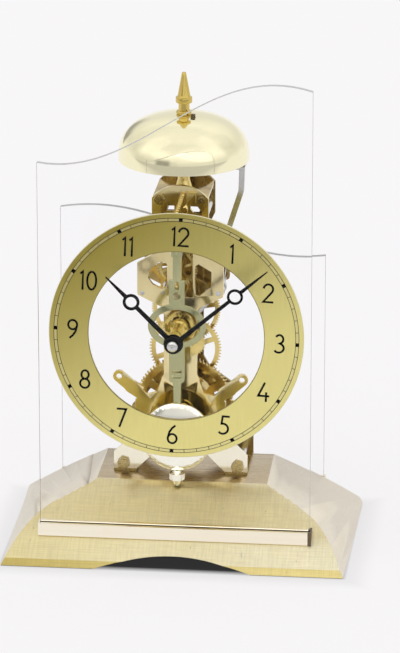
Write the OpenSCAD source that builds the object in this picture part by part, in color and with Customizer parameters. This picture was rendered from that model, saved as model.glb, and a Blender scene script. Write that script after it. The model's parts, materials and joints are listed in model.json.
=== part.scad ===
// Skeleton table clock with a pendulum, a bell and two glass panels.
// X runs to the right, Y away from the viewer, Z up. The origin is under the middle of the base.

/* [Base] */
// Width of the base on the table
base_w = 171; // [160:1:190]
// How much narrower the front edge is than the rear edge
front_less = 3; // [0:0.2:6]
// Height of the base
base_h = 31.5; // [29:0.5:36]
// Width of the flat top of the base
top_w = 83.4; // [78:0.2:96]
// Depth of the slope in front of the flat top
slope_front = 44.7; // [42:0.1:48]
// Depth of the slope behind the flat top
slope_rear = 16.7; // [14:0.1:18]
// Room on the flat top behind the back plate
top_margin = 0.3; // [0.1:0.1:1.2]
// Height of the steeper strip along the front
lip_h = 4; // [3:0.1:6]
// Depth of the steeper strip along the front
lip_run = 2; // [1:0.1:6.5]
// Thickness of the brass front panel
panel_t = 1.2; // [0.8:0.1:2]
// Width of the arch cut under the base
under_w = 79.4; // [60:0.2:100]
// Height of the arch cut under the base
under_h = 6.4; // [5:0.1:9]
// Diameter of a felt pad
pad_d = 12; // [8:1:16]
// Gap that the felt pads leave under the base
pad_gap = 0.4; // [0.2:0.1:0.8]

/* [Glass and rails] */
// Width of a glass panel
glass_w = 132.2; // [124:0.2:140]
// Thickness of a glass panel
glass_t = 3; // [2.5:0.1:4]
// Distance from the front edge of the base to the middle of the front glass
glass_front_in = 17.4; // [16:0.1:19]
// Distance from the rear edge of the base to the middle of the rear glass
glass_rear_in = 7.3; // [6.5:0.1:8]
// Height of the top of the front rail
rail_top = 18.2; // [15.2:0.1:19]
// Height of the top of the rear rail
rear_rail_top = 16.6; // [14:0.1:17]
// Length of a rail
rail_l = 134; // [126:0.2:144]
// Height of the front face of a rail
rail_face = 6.3; // [4:0.1:7]
// Depth of a rail in front of its glass
rail_lip = 2.4; // [1.5:0.1:3]
// Depth of the groove in the base under a rail
groove_deep = 4; // [3:0.5:6]
// Clearance of the glass in its groove
glass_gap = 0.15; // [0.1:0.05:0.3]
// Mean height of the top edge of the front glass
front_glass_mid = 221.2; // [205:0.2:235]
// Rise and fall of the top edge of the front glass
front_glass_wave = 21; // [10:0.5:26]
// Mean height of the top edge of the rear glass
rear_glass_mid = 144.5; // [130:0.5:165]
// Rise and fall of the top edge of the rear glass
rear_glass_wave = 11.9; // [5:0.5:16]

/* [Plates] */
// How far the movement stands left of the middle of the base
movement_left = 1.5; // [0:0.1:3]
// Thickness of the two movement plates
plate_t = 2; // [1.5:0.1:2.2]
// Clear distance between the plates
plate_gap = 28.5; // [28.5:0.1:32]
// Distance of the front plate behind the front edge of the flat top
plate_in = 11.8; // [11:0.1:14]
// Thickness of the strips under the feet of the plates
strip_t = 1.6; // [1:0.1:2.5]
// Height of the centre arbor above the base
centre_up = 77.5; // [76:0.1:84]
// Radius of a pillar
pillar_r = 2.5; // [2:0.1:3]

/* [Dial and hands] */
// Outer diameter of the dial ring
dial_d = 125; // [116:0.5:130]
// Inner diameter of the dial ring
dial_bore = 86; // [80:0.5:90]
// Thickness of the dial ring
dial_t = 1; // [0.8:0.1:1.5]
// Distance of the dial in front of the front plate
dial_out = 17.5; // [17.5:0.1:19]
// Length of the minute hand
minute_len = 60; // [50:0.5:61]
// Length of the hour hand
hour_len = 46.5; // [38:0.5:50]
// Thickness of a hand
hand_t = 0.8; // [0.5:0.1:1]
// Distance of the hour hand in front of the dial
hour_out = 11.2; // [10:0.1:11.8]
// Outer radius of the hour pipe
pipe_r = 3; // [2.8:0.1:3.4]

/* [Train] */
// Module of the great wheel
great_m = 0.6; // [0.55:0.01:0.62]
// Module of the intermediate wheel
inter_m = 0.5; // [0.46:0.01:0.52]
// Module of the centre wheel
centre_m = 0.4; // [0.38:0.005:0.42]
// Module of the third wheel
third_m = 0.28; // [0.27:0.005:0.3]
// Module of the wheels behind the hands
motion_m = 0.4; // [0.36:0.01:0.42]
// Outer radius of the barrel
drum_r = 16; // [14:0.5:17]
// Tip radius of the escape wheel
escape_r = 10.2; // [9:0.1:10.3]
// Radius of the barrel arbor
barrel_arbor_r = 3; // [2.5:0.1:3.5]
// Length of the winding square behind the back plate
square_out = 6.5; // [4:0.5:7]
// Running clearance of a pivot in its hole
run_gap = 0.05; // [0.02:0.01:0.08]
// Clearance of a piece pressed on its arbor
seat_gap = 0.02; // [0.01:0.01:0.05]
// End play of an arbor between the plates
end_play = 0.25; // [0.1:0.05:0.4]

/* [Pendulum] */
// Distance from the flexing point of the suspension to the middle of the bob
pendulum_len = 100; // [97:0.5:101]
// Radius of the bob
bob_r = 17.3; // [14:0.1:17.5]
// Thickness of the bob
bob_t = 4; // [3:0.2:4.4]
// Distance of the pendulum in front of the front plate
pendulum_out = 14.9; // [14.6:0.1:15]
// Width of the upper strap
strap_w = 4; // [3:0.1:4.4]
// Thickness of the strap
strap_t = 1; // [0.6:0.1:1.2]
// Outer width of the oval loop round the hour pipe
loop_w = 28.4; // [26:0.2:30]
// Outer height of the oval loop
loop_h = 22.6; // [21:0.2:24]
// Width of the band of the loop
loop_band = 3; // [2.4:0.1:3.2]

/* [Bell and strike] */
// Outer radius of the bell at its rim
bell_r = 32.1; // [30:0.1:34]
// Height of the bell
bell_h = 22.2; // [20:0.1:24]
// Wall of the bell
bell_wall = 1.6; // [1.2:0.1:2]
// Height of the rim of the bell above the centre arbor
bell_up = 80.2; // [77:0.1:84]
// Height of the finial
finial_h = 20.9; // [18:0.2:24]
// Width of the hammer strip
hammer_w = 2.7; // [2:0.1:3]
// Gap between the hammer head and the bell at rest
strike_gap = 0.8; // [0.5:0.1:1.5]

/* [Hidden] */
$fn = 48;
tiny = 0.01;
over = 1;
// Depth of the base on the table
base_d = slope_front + plate_in + 2 * plate_t + plate_gap + top_margin + slope_rear;
// Planes across the depth of the clock
front_y = -base_d / 2;
rear_y = base_d / 2;
top_front_y = front_y + slope_front;
top_rear_y = rear_y - slope_rear;
plate_y = top_front_y + plate_in;
inner_y = plate_y + plate_t;
back_y = inner_y + plate_gap;
back_out_y = back_y + plate_t;
dial_y = plate_y - dial_out - dial_t;
hour_hand_y = dial_y - hour_out;
hand_step = 1.4;
minute_hand_y = hour_hand_y - hand_t - hand_step;
nut_t = 3.2;
pend_y = plate_y - pendulum_out;
front_glass_y = front_y + glass_front_in;
rear_glass_y = rear_y - glass_rear_in;
mid_y = inner_y + plate_gap / 2;
// Tooth counts
great_n = 80;
inter_pinion_n = 12;
inter_n = 70;
centre_pinion_n = 8;
centre_n = 84;
third_pinion_n = 7;
third_n = 78;
escape_pinion_n = 7;
escape_n = 42;
cannon_n = 12;
minute_n = 36;
minute_pinion_n = 10;
hour_n = 40;
ratchet_n = 24;
// Places of the arbors, as x and z
foot_z = base_h + strip_t;
centre_z = base_h + centre_up;
inter_z = centre_z - inter_m * (inter_n + centre_pinion_n) / 2;
great_z = inter_z - great_m * (great_n + inter_pinion_n) / 2;
third_dist = centre_m * (centre_n + third_pinion_n) / 2;
third_ang = 118.2;
third_x = third_dist * cos(third_ang);
third_z = centre_z + third_dist * sin(third_ang);
escape_dist = third_m * (third_n + escape_pinion_n) / 2;
escape_ang = 59.2;
escape_x = third_x + escape_dist * cos(escape_ang);
escape_z = third_z + escape_dist * sin(escape_ang);
minute_dist = motion_m * (cannon_n + minute_n) / 2;
minute_ang = -56;
minute_x = minute_dist * cos(minute_ang);
minute_z = centre_z + minute_dist * sin(minute_ang);
hour_m = 2 * minute_dist / (minute_pinion_n + hour_n);
swing_z = centre_z + 47;
bob_z = swing_z - pendulum_len;
hammer_x = 18.7;
hammer_z = centre_z + 16.5;
// Depth planes of the train
drum_y = inner_y + 2.6;
drum_len = 13.4;
great_y = drum_y + drum_len;
great_t = 2;
inter_wheel_y = great_y + great_t + 1.8;
wheel_t = 1.2;
centre_wheel_y = inter_wheel_y + wheel_t + 2.2;
third_wheel_y = inner_y + 12.5;
escape_wheel_y = inner_y + 7;
third_t = 1;
escape_t = 1;
cam_y = inner_y + 2;
cam_t = 2;
// Places of the pillars and posts, as x and z
leg_x = 28.3;
leg_z = foot_z + 3;
high_x = 10.5;
high_z = centre_z + 54;
side_x = -18.7;
side_z = centre_z + 15.6;
post_low_x = 25;
post_low_z = centre_z - 54.5;
pillar_places = [[-leg_x, leg_z], [leg_x, leg_z], [-high_x, high_z], [high_x, high_z]];
bridge_screw_at = [10.2, centre_z + 63.7];
bridge_screw_r = 1;
side_r = 1.1;
post_r = 1.6;
pivot_r = 0.8;
arbor_r = 1.2;
screw_r = 1.4;
rail_back = 2.6;
pin_r = 0.6;
// Hands as in the picture, clockwise from twelve
minute_at = 49.7;
hour_at = 315;

// A flat outline drawn in x and z, from y0 backwards by t
module slab(y0, t) translate([0, y0 + t, 0]) rotate([90, 0, 0]) linear_extrude(t) children();
// A round bar along y
module bar(x, z, y0, y1, r) translate([x, y0, z]) rotate([-90, 0, 0]) cylinder(h = y1 - y0, r = r);
// A rounded slot or strip between two points
module link(a, b, w) hull() {
    translate(a) circle(d = w, $fn = 32);
    translate(b) circle(d = w, $fn = 32);
}
// A straight strip with square ends, exact where hull is not wanted
module strip(a, b, w) {
    d = b - a;
    translate(a) rotate(atan2(d[1], d[0])) translate([0, -w / 2]) square([norm(d), w]);
}
function mirror_x(points) = [for (i = [len(points) - 1:-1:0]) [-points[i][0], points[i][1]]];
function polar(r, a) = [r * cos(a), r * sin(a)];
// Direction of the first tooth of wheel b, so that it meshes with wheel a in direction theta
function mesh(na, first_a, nb, theta) = theta + 180 - 360 / nb * (0.5 - (theta - first_a) * na / 360);

// Teeth: pointed on wheels, narrow leaves on pinions
tooth_up = 0.85;
tooth_down = 1.35;
root_share = 0.27;
tip_share = 0.07;
leaf_up = 0.55;
leaf_down = 1.35;
leaf_root = 0.17;
leaf_tip = 0.1;
module teeth(n, m, first, up = tooth_up, down = tooth_down, root = root_share, tip = tip_share) {
    r = m * n / 2;
    step = 360 / n;
    polygon([for (i = [0:n - 1]) for (p = [[-root, -down], [-tip, up], [tip, up], [root, -down]])
        polar(r + p[1] * m, first + (i + p[0]) * step)]);
}
module leaves(n, m, first) teeth(n, m, first, leaf_up, leaf_down, leaf_root, leaf_tip);
// A wheel with crossings
module wheel(n, m, first, arms, rim, hub, bore, turn = 0, arm_w = 2) difference() {
    teeth(n, m, first);
    difference() {
        circle(r = m * (n / 2 - tooth_down) - rim);
        circle(r = hub);
        for (i = [0:arms - 1]) rotate(turn + i * 360 / arms) translate([0, -arm_w / 2])
            square([m * n, arm_w]);
    }
    circle(r = bore);
}

// Phases of the meshing wheels
great_first = 90;
inter_first = mesh(great_n, great_first, inter_pinion_n, 90);
inter_wheel_first = 90;
centre_first = mesh(inter_n, inter_wheel_first, centre_pinion_n, 90);
centre_wheel_first = third_ang;
third_first = mesh(centre_n, centre_wheel_first, third_pinion_n, third_ang);
third_wheel_first = escape_ang;
escape_first = mesh(third_n, third_wheel_first, escape_pinion_n, escape_ang);
cannon_first = minute_ang;
minute_first = mesh(cannon_n, cannon_first, minute_n, minute_ang);
minute_pinion_first = minute_ang + 180;
hour_first = mesh(minute_pinion_n, minute_pinion_first, hour_n, minute_ang + 180);

// Base
// Front and rear surfaces: y at a height, and height at a y
slope_run = (slope_front - lip_run) / (base_h - lip_h);
function front_at(z) = z < lip_h ? front_y + lip_run * z / lip_h
    : front_y + lip_run + (z - lip_h) * slope_run;
function front_height(y) = lip_h + (y - front_y - lip_run) / slope_run;
function rear_at(z) = rear_y - z * slope_rear / base_h;
function rear_height(y) = (rear_y - y) * base_h / slope_rear;
function bend(a, b, c, n) = [for (i = [0:n])
    let (t = i / n) (1 - t) * (1 - t) * a + 2 * t * (1 - t) * b + t * t * c];
arch_steps = 8;
slope_steps = 5;
side_n = arch_steps + slope_steps;
// Right half of an end outline, from the bottom corner to the top corner, as x and z
function half_end(low, c, s, bow) = concat(bend([low, 0], c, s, arch_steps), [for (i = [1:slope_steps])
    let (t = i / slope_steps) s + ([top_w / 2, base_h] - s) * t + [0, 4 * bow * t * (1 - t)]]);
front_half = half_end((base_w - front_less) / 2, [base_w * 0.4433, base_h * 0.549],
    [base_w * 0.351, base_h * 0.759], 0);
rear_half = half_end(base_w / 2, [base_w * 0.499, base_h * 0.126], [base_w * 0.4825, base_h * 0.187], 1.1);
// The lines that join the two outlines run on to the front and rear edges, where the caps are flat
function on_front(i) = [front_half[i][0], front_at(front_half[i][1]), front_half[i][1]];
function on_rear(i) = [rear_half[i][0], rear_at(rear_half[i][1]), rear_half[i][1]];
function along(i, y) = let (a = on_front(i), b = on_rear(i)) a + (b - a) * (y - a[1]) / (b[1] - a[1]);
function right_side_at(y) = [for (i = [0:side_n]) along(i, y)];
function left_side_at(y) = [for (i = [side_n:-1:0]) [-along(i, y)[0], y, along(i, y)[2]]];
function cap(y) = concat(right_side_at(y), left_side_at(y));
// A closed skin between two outlines with the same number of points
module loft(a, b) {
    n = len(a);
    quads = [for (i = [0:n - 1]) let (j = (i + 1) % n) each [[i, j, n + j], [i, n + j, n + i]]];
    fan_a = [for (i = [1:n - 2]) [0, i + 1, i]];
    fan_b = [for (i = [1:n - 2]) [n, n + i, n + i + 1]];
    polyhedron(concat(a, b), concat(quads, fan_a, fan_b));
}
// A profile in y and z, drawn along the whole width
module long_profile(points) rotate([90, 0, 90]) translate([0, 0, -base_w]) linear_extrude(2 * base_w)
    polygon(points);
under_r = (under_w * under_w / 4 + under_h * under_h) / (2 * under_h);
module under_arch() bar(0, under_h - under_r, front_y - over, rear_y + over, under_r, $fn = 120);
pad_x = base_w / 2 - 18;
pad_in = 16;
pad_sink = 1;
module each_pad() for (x = [-pad_x, pad_x]) for (y = [front_y + pad_in, rear_y - pad_in])
    translate([x, y, 0]) children();
// Grooves for the glass, through the rails and into the base
front_groove_z = front_height(front_glass_y) - groove_deep;
rear_groove_z = max(under_h + 1.5, rear_height(rear_glass_y + glass_t / 2) - groove_deep);
module grooves() {
    for (g = [[front_glass_y, front_groove_z], [rear_glass_y, rear_groove_z]])
        translate([-glass_w / 2 - glass_gap, g[0] - glass_t / 2 - glass_gap, g[1]])
            cube([glass_w + 2 * glass_gap, glass_t + 2 * glass_gap, base_h]);
}
module base_block(points) difference() {
    intersection() {
        loft(cap(front_y), cap(rear_y));
        long_profile(points);
    }
    under_arch();
    grooves();
}
module base_body() color("#b59f78") difference() {
    base_block([[front_y + panel_t, pad_gap], [front_at(lip_h) + panel_t, lip_h],
        [top_front_y + panel_t, base_h],
        [top_rear_y, base_h], [rear_at(pad_gap), pad_gap]]);
    each_pad() cylinder(d = pad_d + 2 * glass_gap, h = pad_gap + pad_sink);
}
// The panel follows the front of the body
module front_panel() color("#d9cfa0") base_block([[front_at(pad_gap), pad_gap], [front_at(lip_h), lip_h],
    [top_front_y, base_h], [top_front_y + panel_t, base_h], [front_at(lip_h) + panel_t, lip_h],
        [front_y + panel_t, pad_gap]]);
module felt_pads() color("#3d3a33") each_pad() cylinder(d = pad_d, h = pad_gap + pad_sink);

// Rails: a wedge that lies on the slope, slotted for the glass
module rail_profile(points) rotate([90, 0, 90]) translate([0, 0, -rail_l / 2]) linear_extrude(rail_l)
    polygon(points);
module rail_slot(y, z0) translate([-glass_w / 2 - glass_gap, y - glass_t / 2 - glass_gap, z0 - over])
    cube([glass_w + 2 * glass_gap, glass_t + 2 * glass_gap, base_h]);
rail_front_y = front_glass_y - glass_t / 2 - rail_lip;
rail_inner_y = front_glass_y + glass_t / 2 + rail_back;
front_rail_low = rail_top - rail_face;
module front_rail() color("#e6d9b4") difference() {
    rail_profile([[rail_front_y, front_rail_low], [rail_front_y, rail_top], [rail_inner_y, rail_top],
        [rail_inner_y, min(rail_top - tiny, front_height(rail_inner_y))],
        [max(rail_front_y + tiny, front_at(front_rail_low)), front_rail_low]]);
    rail_slot(front_glass_y, front_groove_z);
}
rear_rail_y = rear_glass_y + glass_t / 2 + rail_lip;
rear_rail_low = rear_rail_top - rail_face;
module rear_rail() color("#e6d9b4") difference() {
    rail_profile([[rear_at(rear_rail_top), rear_rail_top], [rear_rail_y, rear_rail_top],
        [rear_rail_y, rear_rail_low], [rear_at(rear_rail_low), rear_rail_low]]);
    rail_slot(rear_glass_y, rear_groove_z);
}

// Glass panels with waved tops
front_trough = -57;
front_half_wave = 106;
rear_crest = -49;
rear_half_wave = 103;
wave_steps = 28;
module pane(y, low, tops) slab(y - glass_t / 2, glass_t)
    polygon(concat([[glass_w / 2, low], [-glass_w / 2, low]], tops));
function span(i) = -glass_w / 2 + glass_w * i / wave_steps;
module front_glass() color([0.86, 0.9, 0.92, 0.35]) pane(front_glass_y, front_groove_z + tiny,
    [for (i = [0:wave_steps]) [span(i),
        front_glass_mid - front_glass_wave * cos(180 * (span(i) - front_trough) / front_half_wave)]]);
module rear_glass() color([0.86, 0.9, 0.92, 0.35]) pane(rear_glass_y, rear_groove_z + tiny,
    [for (i = [0:wave_steps]) [span(i),
        rear_glass_mid + rear_glass_wave * cos(180 * (span(i) - rear_crest) / rear_half_wave)]]);

// The movement stands a little left of the middle of the base
module in_place() translate([-movement_left, 0, 0]) children();
// Strips under the feet, with the screws that hold the movement
foot_in = 21.8;
foot_out = 33.2;
strip_screw_y = [inner_y + 7, back_y - 7];
strip_screw_x = foot_in + screw_r + 0.8;
module foot_strips() color("#9c8a52") in_place() for (s = [-1, 1]) difference() {
    translate([s > 0 ? foot_in : -foot_out, plate_y, base_h])
        cube([foot_out - foot_in, back_out_y - plate_y, strip_t]);
    for (y = strip_screw_y) translate([s * strip_screw_x, y, base_h - over])
        cylinder(r = screw_r + run_gap, h = strip_t + 2 * over);
}
module movement_screws() color("#c9c6bb") in_place() for (s = [-1, 1]) for (y = strip_screw_y)
    translate([s * strip_screw_x, y, base_h]) {
        cylinder(r = screw_r, h = strip_t);
        difference() {
            translate([0, 0, strip_t]) cylinder(r = screw_r + 0.6, h = 1.2);
            translate([-0.3, -3, strip_t + 0.7]) cube([0.6, 6, 1]);
        }
    }

// Plates, drawn about the centre arbor with z measured from it
low = foot_z - centre_z;
neck = 8.2;
body_w = 22.4;
top_half = 13.9;
crown_up = 71;
wide_half = 21.2;
crown_r = 18;
right_side = [[foot_in, low], [foot_out, low], [foot_out, low + 8.4], [body_w, low + 19.2], [body_w, -39.5],
    [11.5, -32], [neck, -26], [neck, 6.8], [9.6, 8.9], [20.9, 14.6], [wide_half, 16.2], [wide_half, 31],
    [10.4, 37.6], [9.6, 39.5], [top_half, 48.7], [top_half, crown_up - 7]];
crown = [for (a = [50:-10:-50]) [crown_r * sin(a), crown_up - crown_r + crown_r * cos(a)]];
left_inner = [[-foot_in, low], [-9.4, low + 12.4], [9.4, low + 12.4]];
module plate_outline() {
    polygon(concat(right_side, crown, mirror_x(right_side), left_inner));
    for (s = [-1, 1]) translate([s * post_low_x, post_low_z - centre_z]) circle(r = 3);
}
eye_x = 30.4;
eye_z = -27.9;
module arm(s) {
    link([s * eye_x, eye_z], [s * 24.5, eye_z - 5.2], 6);
    link([s * 24.5, eye_z - 5.2], [s * 16, eye_z - 10.6], 6.6);
}
great_c = [0, great_z - centre_z];
opening_c = [0, great_z - centre_z - 1.4];
opening_r = 15;
module pivots(arbor_hole) {
    circle(r = arbor_hole);
    for (p = [[0, inter_z], [third_x, third_z], [escape_x, escape_z]])
        translate([p[0], p[1] - centre_z]) circle(r = pivot_r + run_gap);
    for (p = [[0, swing_z], [hammer_x, hammer_z]])
        translate([p[0], p[1] - centre_z]) circle(r = arbor_r + run_gap);
    translate(great_c) circle(r = barrel_arbor_r + run_gap);
    for (p = pillar_places) translate([p[0], p[1] - centre_z]) circle(r = screw_r + seat_gap);
    for (s = [-1, 1]) translate([s * bridge_screw_at[0], bridge_screw_at[1] - centre_z])
        circle(r = bridge_screw_r + seat_gap);
}
module windows() {
    polygon([[-6.5, 18.6], [-6.5, 30.6], [-8, 32], [-11, 31.4], [-15, 27.4], [-15.9, 23.6],
        [-13.6, 20.2], [-9.6, 18.2]]);
    polygon([[7.2, 15.4], [7.2, 30.2], [9, 31.2], [15.3, 27.4], [15.3, 20], [9.4, 15]]);
    polygon([[0.4, 14.2], [6.2, 14.2], [6.2, 38], [4.4, 40.6], [0.4, 40.6]]);
    for (s = [-1, 1]) polygon([[s * 9.2, -28.2], [s * 19.2, -34.6], [s * 16.4, -36.6], [s * 11.6, -35.6]]);
    polygon([[-6.6, 58.2], [-2.9, 58.2], [-2.9, 60.8], [-6, 60.8]]);
    polygon([[5, 60.8], [8.3, 60.8], [10.8, 57.4], [6.4, 57.4], [4.9, 59.4]]);
    for (s = [-1, 1]) translate([s * eye_x, eye_z]) circle(r = 1.4);
}
boss_r = 6;
module front_plate() color("#a9a37c") in_place() slab(plate_y, plate_t) translate([0, centre_z])
    difference() {
        union() {
            plate_outline();
            for (s = [-1, 1]) arm(s);
        }
        windows();
        difference() {
            translate(opening_c) circle(r = opening_r);
            translate(great_c) circle(r = boss_r);
            strip(great_c, [0, opening_c[1] - opening_r - 1], 9);
        }
        pivots(arbor_r + run_gap);
        translate([minute_x, minute_z - centre_z]) circle(r = 0.8 + seat_gap);
        translate([side_x, side_z - centre_z]) circle(r = side_r + seat_gap);
        for (p = [[-high_x, high_z], [high_x, high_z], [-post_low_x, post_low_z], [post_low_x, post_low_z]])
            translate([p[0], p[1] - centre_z]) circle(r = screw_r + seat_gap);
    }
back_window_r = 7;
module back_plate() color("#a9a37c") in_place() slab(back_y, plate_t) translate([0, centre_z]) difference() {
    plate_outline();
    for (s = [-1, 1]) translate([s * 12.6, 24]) circle(r = 5.4);
    for (s = [-1, 1]) translate([s * 13.4, great_z - centre_z - 2]) circle(r = back_window_r);
    polygon([[-11.2, 48], [-6.2, 48], [-6.2, 51.4], [-11.2, 51.4]]);
    polygon([[2.2, 47.2], [7.4, 47.2], [7.4, 51.3], [0.4, 51.3], [0.4, 49.2]]);
    pivots(pivot_r + run_gap);
    for (p = [click_at, click_spring_at]) translate([p[0], p[1] - centre_z]) circle(r = 1 + seat_gap);
}

// Pillars with necks through the plates
module pillars() color("#c4c2b8") in_place() for (p = pillar_places)
    bar(p[0], p[1], inner_y, back_y, pillar_r);
hex_r = 3.2;
hex_t = 2.4;
module foot_nuts() color("#8f8460") in_place() for (s = [-1, 1]) {
    translate([s * leg_x, plate_y - hex_t, leg_z]) rotate([-90, 15, 0])
        cylinder(r = hex_r, h = hex_t, $fn = 6);
    bar(s * leg_x, leg_z, plate_y, inner_y, screw_r);
    translate([s * leg_x, back_out_y, leg_z]) rotate([-90, 15, 0]) cylinder(r = hex_r, h = hex_t, $fn = 6);
    bar(s * leg_x, leg_z, back_y, back_out_y, screw_r);
}
head_t = 1.2;
module slotted_head(x, z, y0, y1) difference() {
    bar(x, z, y0, y1, screw_r + 1);
    translate([x - 3, y0 < plate_y ? y0 - tiny : y1 - 0.5, z - 0.3]) cube([6, 0.5 + tiny, 0.6]);
}
module plate_screws() color("#c9c6bb") in_place() {
    for (p = [[-high_x, high_z], [high_x, high_z]]) {
        slotted_head(p[0], p[1], back_out_y, back_out_y + head_t);
        bar(p[0], p[1], back_y, back_out_y, screw_r);
    }
    difference() {
        bar(side_x, side_z, plate_y, inner_y, side_r);
        translate([side_x - 3, plate_y - tiny, side_z - 0.25]) cube([6, 0.4 + tiny, 0.5]);
    }
    bar(side_x, side_z, inner_y, inner_y + 1.4, side_r + 1.2);
}
// A hexagon nut holds the bridge on the left of the front plate, plain screws hold it elsewhere
bridge_nut_r = 2.8;
module bridge_screws() color("#6b5a3c") in_place() for (s = [-1, 1]) {
    x = s * bridge_screw_at[0];
    z = bridge_screw_at[1];
    bar(x, z, plate_y, inner_y + bridge_t, bridge_screw_r);
    if (s < 0) translate([x, plate_y - 1.4, z]) rotate([-90, 0, 0])
        cylinder(r = bridge_nut_r, h = 1.4, $fn = 6);
    else bar(x, z, plate_y - 0.6, plate_y, bridge_screw_r + 0.7);
    bar(x, z, back_y - bridge_t, back_out_y, bridge_screw_r);
    bar(x, z, back_out_y, back_out_y + 0.8, bridge_screw_r + 0.9);
}

// Dial and its posts, which screw through the front plate
module dial_ring() color("#cdbb6a") in_place() slab(dial_y, dial_t) translate([0, centre_z]) difference() {
    circle(d = dial_d, $fn = 128);
    circle(d = dial_bore, $fn = 128);
}
post_places = [[-high_x, high_z, inner_y], [high_x, high_z, inner_y], [-post_low_x, post_low_z, inner_y],
    [post_low_x, post_low_z, inner_y]];
module dial_posts() color("#b9a860") in_place() for (p = post_places) {
    bar(p[0], p[1], dial_y + dial_t, plate_y, post_r);
    bar(p[0], p[1], plate_y, p[2], screw_r);
}

// Bell bridge between the tops of the plates, the post on it, the bell and the finial
rim_z = centre_z + bell_up;
crown_z = rim_z + bell_h;
bridge_z = centre_z + crown_up - 7.4;
bridge_t = 1.6;
bridge_w = 27;
flange_h = 2.6;
post_foot_r = 4.4;
post_foot_h = 4.6;
bell_post_r = 3;
bell_bore_r = 2;
module bell_bridge() color("#c9a94e") in_place() {
    difference() {
        translate([-bridge_w / 2, inner_y + bridge_t, bridge_z])
            cube([bridge_w, plate_gap - 2 * bridge_t, bridge_t]);
        translate([0, mid_y, bridge_z - over]) cylinder(r = bell_bore_r + seat_gap, h = bridge_t + 2 * over);
    }
    for (y = [inner_y, back_y - bridge_t]) difference() {
        translate([-bridge_w / 2, y, bridge_z - flange_h]) cube([bridge_w, bridge_t, flange_h + bridge_t]);
        for (s = [-1, 1]) bar(s * bridge_screw_at[0], bridge_screw_at[1], y - over, y + bridge_t + over,
            bridge_screw_r + seat_gap);
    }
}
seat_z = crown_z - bell_wall;
module bell_post() color("#c9a94e") in_place() translate([0, mid_y, 0]) {
    translate([0, 0, bridge_z]) cylinder(r = bell_bore_r, h = bridge_t);
    translate([0, 0, bridge_z + bridge_t]) cylinder(r1 = post_foot_r, r2 = bell_post_r, h = post_foot_h);
    translate([0, 0, bridge_z + bridge_t]) cylinder(r = bell_post_r, h = seat_z - bridge_z - bridge_t);
    translate([0, 0, seat_z]) cylinder(r = bell_bore_r, h = bell_wall + 4);
}
// Section of the bell: a flat crown, a round shoulder and a short upright rim
rim_h = 2;
function bell_side(r, h, z0, n) = [for (i = [0:n])
    let (a = 90 * i / n) [r * pow(cos(a), 0.78), z0 + h * pow(sin(a), 0.92)]];
bell_steps = 14;
bell_out = bell_side(bell_r, bell_h - rim_h, rim_z + rim_h, bell_steps);
bell_in = bell_side(bell_r - bell_wall, bell_h - rim_h - bell_wall, rim_z + rim_h, bell_steps);
module bell() color("#d8c268") in_place() translate([0, mid_y, 0]) difference() {
    rotate_extrude($fn = 96) polygon(concat([[bell_r, rim_z]], [for (i = [0:bell_steps - 1]) bell_out[i]],
        [[0, crown_z], [0, crown_z - bell_wall]], [for (i = [bell_steps - 1:-1:0]) bell_in[i]],
        [[bell_r - bell_wall, rim_z]]));
    translate([0, 0, seat_z - over]) cylinder(r = bell_bore_r + seat_gap, h = bell_wall + 2 * over);
    translate([0, 0, rim_z + rim_h]) cylinder(r = bell_post_r + 0.1, h = seat_z - rim_z - rim_h);
}
module finial() color("#d8c268") in_place() translate([0, mid_y, crown_z]) difference() {
    rotate_extrude($fn = 48) polygon([[0, 0], [3.4, 0], [3.8, 0.5], [3.8, 1.2], [3.4, 1.7], [2.7, 1.9],
        [2.7, 5.7],
        [3.9, 5.8], [4.05, 6.1], [4.05, 8.3], [3.9, 8.6], [3.2, 8.7], [1.05, finial_h - 0.3], [0.8, finial_h],
        [0, finial_h]]);
    translate([0, 0, -over]) cylinder(r = bell_bore_r + seat_gap, h = 4 + over + seat_gap);
}

// Suspension: a split block on the front plate and the spring that hangs in it
block_low = swing_z + 2.2;
block_h = 8;
block_half = 3.6;
spring_w = 3;
spring_t = 0.3;
slit = 0.1;
flex_gap = 0.17;
clamp_front_y = pend_y - 2.3;
tab_t = 1.6;
block_top = block_low + block_h;
module suspension_block() color("#b9a860") in_place() difference() {
    union() {
        translate([-block_half, clamp_front_y, block_low])
            cube([2 * block_half, plate_y - clamp_front_y, block_h]);
        slab(plate_y - tab_t, tab_t) translate([0, centre_z]) polygon([[1.6, block_top - centre_z - 1],
            [3.5, block_top - centre_z - 1], [4.4, 61.2], [7.8, 62.6], [7.8, 68], [3.3, 68], [3.3, 62.4],
                [1.6, 60.8]]);
        bar(2.4, centre_z + 58.9, plate_y - tab_t - 0.7, plate_y, 1.3);
    }
    translate([-spring_t / 2 - slit, clamp_front_y - over, block_low - over])
        cube([spring_t + 2 * slit, over + 2.3 + spring_w / 2 + slit, block_h - 1 + over]);
    bar(0, block_low + 4, clamp_front_y - over, clamp_front_y + tiny, 0.9);
}
// Threaded rod that leans from the block along the face of the plate
rod_ribs = 10;
rod_pitch = 1.15;
module leaning_screw() color("#a8843a") in_place() intersection() {
    translate([-1.9, plate_y - 1.5, block_top - 1]) rotate([0, 17, 0]) rotate_extrude($fn = 24)
        polygon(concat(
            [[0, 0], [0.95, 0]],
            [for (i = [0:rod_ribs - 1])
                each [[1.3, (i + 0.5) * rod_pitch], [0.95, (i + 1) * rod_pitch]]],
            [[0, rod_ribs * rod_pitch]]));
    translate([-10, plate_y - 10, block_top]) cube([20, 20, 20]);
}
module suspension_spring() color("#8d8d8d") in_place()
    translate([-spring_t / 2, pend_y - spring_w / 2, swing_z - 3])
    cube([spring_t, spring_w, block_low + block_h - 2 - swing_z + 3]);
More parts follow.
